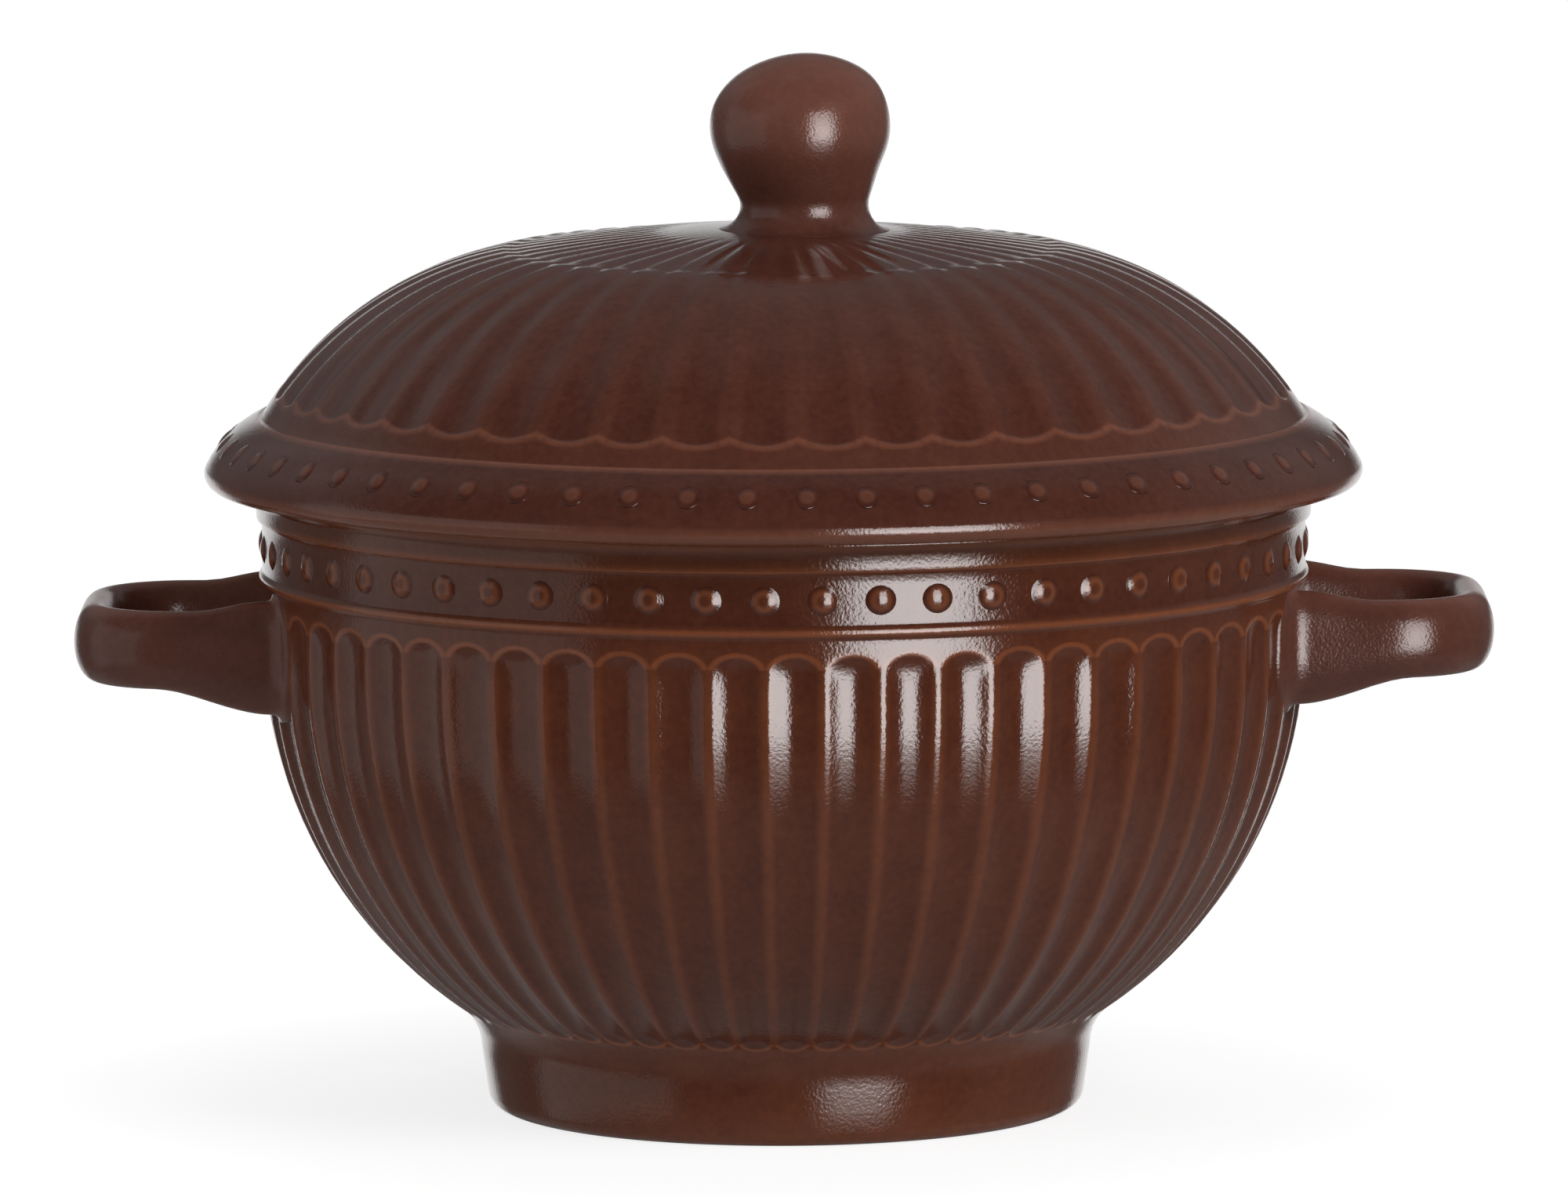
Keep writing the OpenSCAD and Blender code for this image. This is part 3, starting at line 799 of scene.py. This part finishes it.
@dataclass
class BeadRow:
    """A row of round beads pressed onto a band, each with a soft foot."""

    name: str
    body: str
    replaced: tuple[str, ...]
    count: int
    turn: float
    # Place of the beads' feet, and how far the row leans up from level
    foot: Place
    lean: float
    # Radius at which a bead's skirt has run out into the band, and how far the bead stands out
    reach: float
    proud: float
    # How much thinner the glaze is on a ring round the bead's top, and on the top itself
    ring_thin: float
    cap_thin: float
    # How thin the glaze is where the skirt runs out
    base_thin: float = 0.1
    sides: int = 20
    # Radii of the section's vertices, and of the zones of thin glaze, as shares of the reach
    radius_shares: tuple[float, ...] = (0, 0.1, 0.22, 0.34, 0.46, 0.57, 0.68, 0.78, 0.88, 1.0)
    ring_start_shares: Span = (0.22, 0.46)
    ring_end_shares: Span = (0.52, 0.8)
    cap_end_shares: Span = (0.4, 0.7)
    # Powers that give the round top and the soft skirt
    top_power: float = 2.4
    skirt_power: float = 1.8
    # How far the skirt's end, and the point that closes the bead behind, lie under the band
    end_depth: float = 0.07
    back_depth: float = 0.12

    def build(self, glaze: bpy.types.Material) -> bpy.types.Object:
        """Spins one bead's section about its own axis and copies it round the cup.

        Args:
            glaze: the material of the beads.

        Returns:
            The row as one piece.
        """
        bm = bmesh.new()
        glaze_layer = bm.verts.layers.float_vector.new(GLAZE_MAP)
        section = []
        for share in self.radius_shares:
            out = self.proud * (1 - share**self.top_power) ** self.skirt_power
            out -= self.end_depth * share**3
            section.append(bm.verts.new((self.reach * share * MM, 0, out * MM)))
            ring = rise(share, *self.ring_start_shares) * (1 - rise(share, *self.ring_end_shares))
            cap = 1 - rise(share, *self.cap_end_shares)
            thin = self.base_thin + self.ring_thin * ring + self.cap_thin * cap
            section[-1][glaze_layer] = (0, PLAIN, thin)
        section.append(bm.verts.new((0, 0, -self.back_depth * MM)))
        section[-1][glaze_layer] = (0, PLAIN, self.base_thin)
        spin_round(bm, section, self.sides)
        bmesh.ops.recalc_face_normals(bm, faces=bm.faces)
        place = (
            Matrix.Rotation(math.radians(self.turn - 90), 4, "Z")
            @ Matrix.Translation((self.foot[0] * MM, 0, self.foot[1] * MM))
            @ Matrix.Rotation(math.radians(90 - self.lean), 4, "Y")
        )
        bmesh.ops.transform(bm, matrix=place, verts=bm.verts)
        bmesh.ops.spin(
            bm,
            geom=bm.verts[:] + bm.edges[:] + bm.faces[:],
            cent=(0, 0, 0),
            axis=(0, 0, 1),
            angle=math.tau * (self.count - 1) / self.count,
            steps=self.count - 1,
            use_merge=False,
            use_duplicate=True,
        )
        return make_piece(self.name, bm, glaze, self.body, self.replaced)


@dataclass
class CupBeads(BeadRow):
    """The beads on the upright band under the cup's collar."""

    name: str = "cup_bead_row"
    body: str = "cup"
    replaced: tuple[str, ...] = ("cup_beads",)
    count: int = 58
    turn: float = 4.1
    foot: Place = (CupBody.bowl_r, 63.9)
    lean: float = 0.0
    reach: float = 1.9
    proud: float = 0.42
    ring_thin: float = 0.5
    cap_thin: float = 0.15


@dataclass
class LidBeads(BeadRow):
    """The beads on the sloping band of the lid's rim, lower than those of the cup."""

    name: str = "lid_bead_row"
    body: str = "lid"
    replaced: tuple[str, ...] = ("lid_beads",)
    count: int = 61
    turn: float = 2.3
    foot: Place = (62.77, 75.62)
    lean: float = 43.7
    reach: float = 1.5
    proud: float = 0.19
    ring_thin: float = 0.05
    cap_thin: float = 0.35


class Side(Enum):
    """The side of the cup that a handle is on."""

    LEFT = -1
    RIGHT = 1


@dataclass
class Handle:
    """A strap loop lying level, pressed onto the wall at both ends."""

    side: Side
    replaced: str
    lift: float
    # The loop's middle line: its furthest place, how far to the front and back its arms are, and
    # its corners' radius
    tip_x: float = 77.02
    arm_y: float = 14.9
    corner_r: float = 9.4
    # The strap: its thickness, and the heights of its lower and its upper edge
    strap_t: float = 5.1
    low_h: float = 49.1
    high_h: float = 57.85
    # How much lower, higher and thicker the strap is by the wall
    low_spread: float = 2.9
    high_spread: float = 1.1
    thick_spread: float = 0.1
    # Distance from the wall within which it all applies, and at which each part has run out
    spread_start: float = 1.0
    low_end: float = 13.5
    high_end: float = 9.0
    thick_end: float = 8.0
    # Fillets at the wall, on the strap's broad sides and on its edges
    side_fillet: float = 2.2
    edge_fillet: float = 0.9
    # Distances from the wall between which the rings stop following its curve
    conform_zone: Span = (3.5, 9.0)
    # Power of the section's oval; 2 would be an ellipse
    oval_power: float = 2.08
    # How thin the glaze is on the broad sides, and how much thinner on the edges
    side_thin: float = 0.32
    edge_thin: float = 0.3
    edge_power: int = 6
    # Rings along an arm by their distance from the wall, and steps round a corner
    arm_rings: tuple[float, ...] = (
        -2.6, -1.2, -0.5, 0.0, 0.2, 0.5, 0.9, 1.4, 2.0, 2.7, 3.5, 4.5, 5.7, 7.2, 9.0,
    )
    corner_steps: int = 12
    sides: int = 48

    @property
    def wall_x(self) -> float:
        """Returns how far to the side an arm's middle line meets the bowl's wall."""
        return math.sqrt(CupBody.bowl_r**2 - self.arm_y**2)

    def wall_r(self, height: float) -> float:
        """Returns the radius of the bowl's wall at a height."""
        down = max(CupBody.belly_h - height, 0.0)
        curve_r = CupBody.belly_curve_r
        return CupBody.bowl_r - curve_r + math.sqrt(curve_r**2 - down**2)

    def stations(self) -> list[Triple]:
        """Finds the stations for half the loop.

        Returns:
            For each station its x, its y and the turn of the strap.
        """
        corner_x, corner_y = self.tip_x - self.corner_r, self.arm_y - self.corner_r
        path = [(self.wall_x + d, -self.arm_y, 0.0) for d in self.arm_rings]
        for i in range(self.corner_steps + 1):
            a = math.pi / 2 * i / self.corner_steps
            x, y = corner_x + self.corner_r * math.sin(a), -corner_y - self.corner_r * math.cos(a)
            path.append((x, y, a))
        path.append((self.tip_x, -corner_y / 2, math.pi / 2))
        path.append((self.tip_x, 0.0, math.pi / 2))
        return path

    def place_ring(
        self, ring: list[bmesh.types.BMVert], layer: Any, station: Triple, half: float
    ) -> None:
        """Shapes one ring of the strap at a station.

        Args:
            ring: the ring's vertices in order.
            layer: the layer of glaze values.
            station: the station's x, y and turn.
            half: 1 for the half that the stations give, -1 for the half behind.
        """
        x, y, turn = station
        out = max(x - self.wall_x, 0.0)

        def spread(size: float, end: float) -> float:
            """Returns what is left of a spread that runs out at that distance from the wall."""
            return size * (1 - rise(out, self.spread_start, end))

        def fillet(size: float) -> float:
            """Returns how far a round fillet of that size stands out here."""
            near = max(size - out, 0.0)
            return size - math.sqrt(size * size - near * near)

        low = self.low_h - spread(self.low_spread, self.low_end) - fillet(self.edge_fillet)
        high = self.high_h + spread(self.high_spread, self.high_end) + fillet(self.edge_fillet)
        half_t = self.strap_t / 2 + spread(self.thick_spread, self.thick_end) + fillet(self.side_fillet)
        power = 2 / self.oval_power
        conform = 1 - rise(out, *self.conform_zone)
        for i, vert in enumerate(ring):
            a = math.tau * i / len(ring)
            c, d = math.cos(a), math.sin(a)
            across = math.copysign(abs(c) ** power, c) * half_t
            up = (low + high) / 2 + math.copysign(abs(d) ** power, d) * (high - low) / 2
            px, py = x + across * math.sin(turn), y - across * math.cos(turn)
            if conform > 0:
                reach = self.wall_r(up) + x - self.wall_x
                px = blend(px, math.sqrt(reach * reach - py * py), conform)
            vert.co = Vector((self.side.value * px, half * py, up + self.lift)) * MM
            vert[layer] = (0, PLAIN, self.side_thin + self.edge_thin * abs(d) ** self.edge_power)

    def build(self, glaze: bpy.types.Material) -> bpy.types.Object:
        """Extrudes a ring along the loop, shaping it at each station.

        Args:
            glaze: the material of the handle.

        Returns:
            The handle.
        """
        bm = bmesh.new()
        layer = bm.verts.layers.float_vector.new(GLAZE_MAP)
        first = self.stations()
        steps = [(station, 1.0) for station in first] + [(station, -1.0) for station in first[-2::-1]]
        ring = bmesh.ops.create_circle(bm, cap_ends=True, segments=self.sides, radius=MM)["verts"]
        for number, (station, half) in enumerate(steps):
            if number:
                loop = [bm.edges.get(pair) for pair in zip(ring, ring[1:] + ring[:1])]
                made = set(bmesh.ops.extrude_edge_only(bm, edges=loop)["geom"])
                ring = [next(e.other_vert(v) for e in v.link_edges if e.other_vert(v) in made) for v in ring]
            self.place_ring(ring, layer, station, half)
        loop = [bm.edges.get(pair) for pair in zip(ring, ring[1:] + ring[:1])]
        bmesh.ops.contextual_create(bm, geom=loop)
        bmesh.ops.recalc_face_normals(bm, faces=bm.faces)
        name = "handle_" + self.side.name.lower() + "_strap"
        return make_piece(name, bm, glaze, "cup", (self.replaced,))


@dataclass(frozen=True)
class BrownGlaze:
    """Glossy iron-brown stoneware glaze, dipped and fired.

    It pools dark in hollows, and breaks to a thin reddish tan over edges, ridges and beads. Its
    surface has the faint orange peel of a fired glaze, and small darker and lighter mottles.
    """

    # Thick glaze in the hollows, and thin glaze where the clay shows through
    thick: str = "#3d1c13"
    thin: str = "#754229"
    # How thin the glaze is on the floor of a flute
    flute_thin: float = 0.2
    # Distances in and out from a flute's edge between which its dark floor ends
    edge_in: float = 0.8
    edge_out: float = 0.25
    # The light line round a flute's end: how thin the glaze is on it, how far past the edge its
    # middle lies, how far from there it starts to fade and is gone, and how far past the side
    # walls it is whole
    edge_line_thin: float = 0.8
    line_out: float = 0.1
    line_half: Span = (0.1, 0.8)
    line_start: float = 0.8
    # A fired glaze is a glass: an index near 1.5, and a clean gloss that mirrors the window
    ior: float = 1.5
    roughness: float = 0.13
    # Size of the mottles and specks, and how much thinner or thicker the glaze is on them
    mottle_mm: float = 5.0
    mottle_share: float = 0.05
    speck_mm: float = 0.9
    speck_share: float = 0.06
    # The part of the noise's range that the mottles and specks use, and its roughness
    noise_range: Span = (0.3, 0.7)
    noise_roughness: float = 0.55
    # Waves of the peel, drawn about four pixels wide in the full frame so that they show; they
    # break up the edges of the highlights
    peel_mm: float = 0.36
    peel_height_mm: float = 0.05
    peel_strength: float = 0.45

    def make(self, name: str) -> bpy.types.Material:
        """Makes the material.

        Args:
            name: the material's name.

        Returns:
            The material.
        """
        material = bpy.data.materials.new(name)
        material.use_nodes = True
        tree = material.node_tree
        tree.nodes.clear()
        thinness = self.mottled(tree, self.thinness(tree))
        ends = {6: linear_colour(self.thick), 7: linear_colour(self.thin)}
        colour = add_node(tree, "Mix", {"data_type": "RGBA", "clamp_factor": True}, {0: thinness, **ends})
        place = add_node(tree, "TexCoord").outputs["Object"]
        scale = 1 / (self.peel_mm * MM)
        peel = add_node(tree, "TexNoise", {}, {"Vector": place, "Scale": scale, "Detail": 1.0})
        height = self.peel_height_mm * MM
        bump = {"Strength": self.peel_strength, "Distance": height, "Height": peel}
        surface = {
            "Base Color": colour.outputs[2],
            "Roughness": self.roughness,
            "IOR": self.ior,
            "Normal": add_node(tree, "Bump", {}, bump),
        }
        shader = add_node(tree, "BsdfPrincipled", {}, surface)
        add_node(tree, "OutputMaterial", {}, {"Surface": shader})
        return material

    def thinness(self, tree: bpy.types.NodeTree) -> bpy.types.Node:
        """Adds the nodes that find how thin the glaze is from the mesh's glaze values.

        Args:
            tree: the material's node tree.

        Returns:
            The node that gives it.
        """
        maps = add_node(tree, "Attribute", {"attribute_name": GLAZE_MAP})
        side, past, thin = add_node(tree, "SeparateXYZ", {}, {0: maps.outputs["Vector"]}).outputs
        # Distance from the flute's middle, level with its side walls and round at its ends
        flat = add_node(tree, "CombineXYZ", {}, {0: side, 1: past})
        reach = add_node(tree, "VectorMath", {"operation": "LENGTH"}, {0: flat}).outputs["Value"]
        zone = {1: FLUTE_HALF_W - self.edge_in, 2: FLUTE_HALF_W + self.edge_out, 3: 0.0, 4: 1.0}
        outside = add_node(tree, "MapRange", SMOOTH, {0: reach, **zone})
        base = add_node(tree, "Mix", {"data_type": "FLOAT"}, {0: outside, 2: self.flute_thin, 3: thin})
        # The light line that edges the round ends
        middle = FLUTE_HALF_W + self.line_out
        off = add_node(tree, "Math", {"operation": "SUBTRACT"}, {0: reach, 1: middle})
        off = add_node(tree, "Math", {"operation": "ABSOLUTE"}, {0: off})
        zone = {1: self.line_half[1], 2: self.line_half[0], 3: 0.0, 4: self.edge_line_thin}
        line = add_node(tree, "MapRange", SMOOTH, {0: off, **zone})
        at_end = add_node(tree, "MapRange", SMOOTH, {0: past, 1: 0.0, 2: self.line_start, 3: 0.0, 4: 1.0})
        line = add_node(tree, "Math", {"operation": "MULTIPLY"}, {0: line, 1: at_end})
        return add_node(tree, "Math", {"operation": "MAXIMUM"}, {0: base, 1: line})

    def mottled(self, tree: bpy.types.NodeTree, thinness: bpy.types.Node) -> bpy.types.Node:
        """Adds the mottles and the specks to how thin the glaze is.

        Args:
            tree: the material's node tree.
            thinness: the node that gives how thin the glaze is without them.

        Returns:
            The node that gives it with them.
        """
        place = add_node(tree, "TexCoord").outputs["Object"]
        mottle, speck = (self.mottle_mm, self.mottle_share, 3.0), (self.speck_mm, self.speck_share, 2.0)
        for size, share, detail in (mottle, speck):
            fineness = {"Scale": 1 / (size * MM), "Detail": detail, "Roughness": self.noise_roughness}
            noise = add_node(tree, "TexNoise", {}, {"Vector": place, **fineness})
            low, high = self.noise_range
            noise = add_node(tree, "MapRange", {}, {0: noise, 1: low, 2: high, 3: -share, 4: share})
            thinness = add_node(tree, "Math", {"operation": "ADD"}, {0: thinness, 1: noise})
        return thinness


@dataclass(frozen=True)
class Panel:
    """A part of the studio's surroundings that the gloss shows, by direction from the cup.

    half_w and half_h are the angles from its middle to the middle of its soft edge, and softness
    is half that edge's width.
    """

    azimuth: float
    half_w: float
    elevation: float
    half_h: float
    radiance: float
    softness: float


@dataclass(frozen=True)
class Lamp:
    """A soft area lamp that lights the colour and isn't seen in the gloss."""

    azimuth: float
    elevation: float
    distance: float
    size: float
    # Brightness of a white surface by the cup that faces the lamp
    level: float


@dataclass
class Studio:
    """White floor and background, soft lamps, and the panels that the gloss shows."""

    lens: float = 317.7
    sensor_w: float = 36.0
    camera_place: Triple = (0.0, -1.545, 0.242)
    camera_pitch: float = 83.18
    camera_roll: float = -0.25
    aim_height: float = 0.06
    # Plain light on the colour, and what the gloss shows beside the panels
    ambient: float = 0.4
    dark: float = 0.035
    # The floor: its radius, the radius at which it starts to whiten, the share of its radius at
    # which it is all white, how white it is in the middle, its glow, and the paper's colour
    floor_r: float = 0.14
    fade_r: float = 0.05
    white_share: float = 0.96
    near_white: float = 0.72
    glow: float = 1.1
    paper: str = "#ededed"
    panels: tuple[Panel, ...] = (
        # Bright window to the right of the camera, and a dimmer one that reaches lower
        Panel(28.8, 14.8, 4, 22.5, 8.5, 3),
        Panel(28, 13, -9, 18, 3.0, 6),
        # Dim walls on the left, behind and on the right
        Panel(-78, 33, 0, 26, 0.46, 4),
        Panel(-136, 26, 0, 40, 0.07, 8),
        Panel(-131, 7, 40, 14, 0.1, 6),
        Panel(180, 80, 50, 35, 0.12, 16),
        Panel(115, 40, 0, 40, 0.08, 10),
        # White background low down behind the cup, and the floor all round
        Panel(180, 27, -9.5, 8.5, 1.1, 4),
        Panel(180, 12, 4, 5, 0.8, 4),
        Panel(0, 179, -60, 32, 0.2, 10),
    )
    lamps: tuple[Lamp, ...] = (
        Lamp(48, 30, 1.3, 0.7, 0.75),
        Lamp(-50, 30, 1.3, 0.8, 0.26),
        Lamp(170, 62, 1.3, 0.9, 0.2),
    )

    def camera(self) -> None:
        """Sets the camera at the photograph's angle, with the photograph's small roll."""
        data = bpy.data.cameras.new("camera")
        data.lens, data.sensor_width = self.lens, self.sensor_w
        camera = bpy.data.objects.new("camera", data)
        bpy.context.scene.collection.objects.link(camera)
        camera.matrix_world = (
            Matrix.Translation(self.camera_place)
            @ Matrix.Rotation(math.radians(self.camera_pitch), 4, "X")
            @ Matrix.Rotation(math.radians(self.camera_roll), 4, "Z")
        )
        bpy.context.scene.camera = camera

    def light(self) -> None:
        """Adds the lamps, aimed at the cup's middle."""
        aim = Vector((0, 0, self.aim_height))
        for number, lamp in enumerate(self.lamps):
            data = bpy.data.lights.new(f"soft_lamp_{number}", "AREA")
            data.shape, data.size = "SQUARE", lamp.size
            data.energy = math.pi**2 * lamp.distance**2 * lamp.level
            light = bpy.data.objects.new(data.name, data)
            bpy.context.scene.collection.objects.link(light)
            a, e = math.radians(lamp.azimuth), math.radians(lamp.elevation)
            way = Vector((math.sin(a) * math.cos(e), -math.cos(a) * math.cos(e), math.sin(e)))
            facing = way.to_track_quat("Z", "Y").to_matrix().to_4x4()
            light.matrix_world = Matrix.Translation(aim + way * lamp.distance) @ facing
            light.visible_glossy = False
            light.visible_camera = False

    def surroundings(self) -> None:
        """Makes the world: white background, plain light, and panels for the gloss."""
        world = bpy.data.worlds.new("studio")
        world.use_nodes = True
        bpy.context.scene.world = world
        tree = world.node_tree
        tree.nodes.clear()
        gloss = self.panel_light(tree)
        rays = add_node(tree, "LightPath").outputs
        plain_or_gloss = {0: rays["Is Glossy Ray"], 2: self.ambient, 3: gloss}
        light = add_node(tree, "Mix", {"data_type": "FLOAT"}, plain_or_gloss)
        either = {0: rays["Is Camera Ray"], 1: rays["Is Transmission Ray"]}
        seen = add_node(tree, "Math", {"operation": "MAXIMUM"}, either)
        strength = add_node(tree, "Mix", {"data_type": "FLOAT"}, {0: seen, 2: light, 3: 1.0})
        shader = add_node(tree, "Background", {}, {"Color": linear_colour("#ffffff"), "Strength": strength})
        add_node(tree, "OutputWorld", {}, {"Surface": shader})

    def panel_light(self, tree: bpy.types.NodeTree) -> bpy.types.Node:
        """Adds the nodes that give the panels' light by direction.

        Args:
            tree: the world's node tree.

        Returns:
            The node that gives it.
        """
        place = add_node(tree, "TexCoord").outputs["Generated"]
        x, y, z = add_node(tree, "SeparateXYZ", {}, {0: place}).outputs
        ahead = add_node(tree, "Math", {"operation": "MULTIPLY"}, {0: y, 1: -1.0})
        azimuth = add_node(tree, "Math", {"operation": "ARCTAN2"}, {0: x, 1: ahead})
        elevation = add_node(tree, "Math", {"operation": "ARCSINE"}, {0: z})
        total = self.dark
        for panel in self.panels:
            soft = math.radians(panel.softness)
            sideways = (azimuth, panel.azimuth, panel.half_w)
            upwards = (elevation, panel.elevation, panel.half_h)
            shares = []
            for angle, middle, half in (sideways, upwards):
                off = add_node(tree, "Math", {"operation": "SUBTRACT"}, {0: angle, 1: math.radians(middle)})
                off = add_node(tree, "Math", {"operation": "WRAP"}, {0: off, 1: math.pi, 2: -math.pi})
                off = add_node(tree, "Math", {"operation": "ABSOLUTE"}, {0: off})
                edge = math.radians(half)
                zone = {1: edge + soft, 2: edge - soft, 3: 0.0, 4: 1.0}
                shares.append(add_node(tree, "MapRange", SMOOTH, {0: off, **zone}))
            both = add_node(tree, "Math", {"operation": "MULTIPLY"}, {0: shares[0], 1: shares[1]})
            factors = {0: both, 1: panel.radiance, 2: total}
            total = add_node(tree, "Math", {"operation": "MULTIPLY_ADD"}, factors)
        return total

    def floor(self) -> None:
        """Lays a round white floor that fades into the background and keeps the cup's shadow."""
        bm = bmesh.new()
        bmesh.ops.create_circle(bm, cap_ends=True, segments=64, radius=self.floor_r)
        mesh = bpy.data.meshes.new("floor")
        bm.to_mesh(mesh)
        bm.free()
        floor = bpy.data.objects.new("floor", mesh)
        bpy.context.scene.collection.objects.link(floor)
        floor.visible_glossy = False
        mesh.materials.append(self.white_paper())

    def white_paper(self) -> bpy.types.Material:
        """Makes matt paper that shows shadows near the cup and is as white as the background far out.

        Returns:
            The material.
        """
        material = bpy.data.materials.new("white_paper")
        material.use_nodes = True
        tree = material.node_tree
        tree.nodes.clear()
        place = add_node(tree, "TexCoord").outputs["Object"]
        reach = add_node(tree, "VectorMath", {"operation": "LENGTH"}, {0: place}).outputs["Value"]
        zone = {1: self.fade_r, 2: self.floor_r * self.white_share, 3: self.near_white, 4: 1.0}
        white = add_node(tree, "MapRange", SMOOTH, {0: reach, **zone})
        rays = add_node(tree, "LightPath").outputs
        seen = rays["Is Camera Ray"]
        for kind in ("Is Transmission Ray", "Is Glossy Ray"):
            seen = add_node(tree, "Math", {"operation": "MAXIMUM"}, {0: seen, 1: rays[kind]})
        share = add_node(tree, "Math", {"operation": "MULTIPLY"}, {0: white, 1: seen})
        matt = add_node(tree, "BsdfDiffuse", {}, {"Color": linear_colour(self.paper)})
        white_light = {"Color": linear_colour("#ffffff"), "Strength": self.glow}
        glow = add_node(tree, "Emission", {}, white_light)
        mix = add_node(tree, "MixShader", {}, {0: share, 1: matt, 2: glow})
        add_node(tree, "OutputMaterial", {}, {"Surface": mix})
        return material

    def build(self) -> None:
        """Sets up the camera, the lamps, the world and the floor."""
        bpy.context.scene.view_settings.view_transform = "Standard"
        self.camera()
        self.light()
        self.surroundings()
        self.floor()
        log.info("studio: %d lamps, %d panels", len(self.lamps), len(self.panels))


def main() -> None:
    """Builds the cup, the lid and the studio in order."""
    logging.basicConfig(level=logging.INFO, format="%(name)s: %(message)s")
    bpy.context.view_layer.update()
    glaze = BrownGlaze().make("iron_brown_stoneware_glaze")
    lid_glaze = BrownGlaze(
        thick="#391b15",
        thin="#6d4232",
        flute_thin=0.16,
        edge_line_thin=0.0,
        roughness=0.14,
    ).make("iron_brown_stoneware_glaze_lid")
    # The skin of the handles and the knob is rougher, so their highlights are broader and duller
    coarse_glaze = BrownGlaze(
        thick="#3b1f19",
        thin="#70463a",
        ior=1.45,
        roughness=0.2,
        peel_mm=0.3,
        peel_strength=0.6,
    ).make("iron_brown_stoneware_glaze_coarse")
    CupBody().build(glaze)
    CupBeads().build(glaze)
    Handle(Side.LEFT, "handle_left", lift=0.0).build(coarse_glaze)
    Handle(Side.RIGHT, "handle_right", lift=0.7).build(coarse_glaze)
    LidBody().build(lid_glaze)
    LidBeads().build(lid_glaze)
    Knob().build(coarse_glaze)
    Studio().build()


if __name__ == "__main__":
    main()
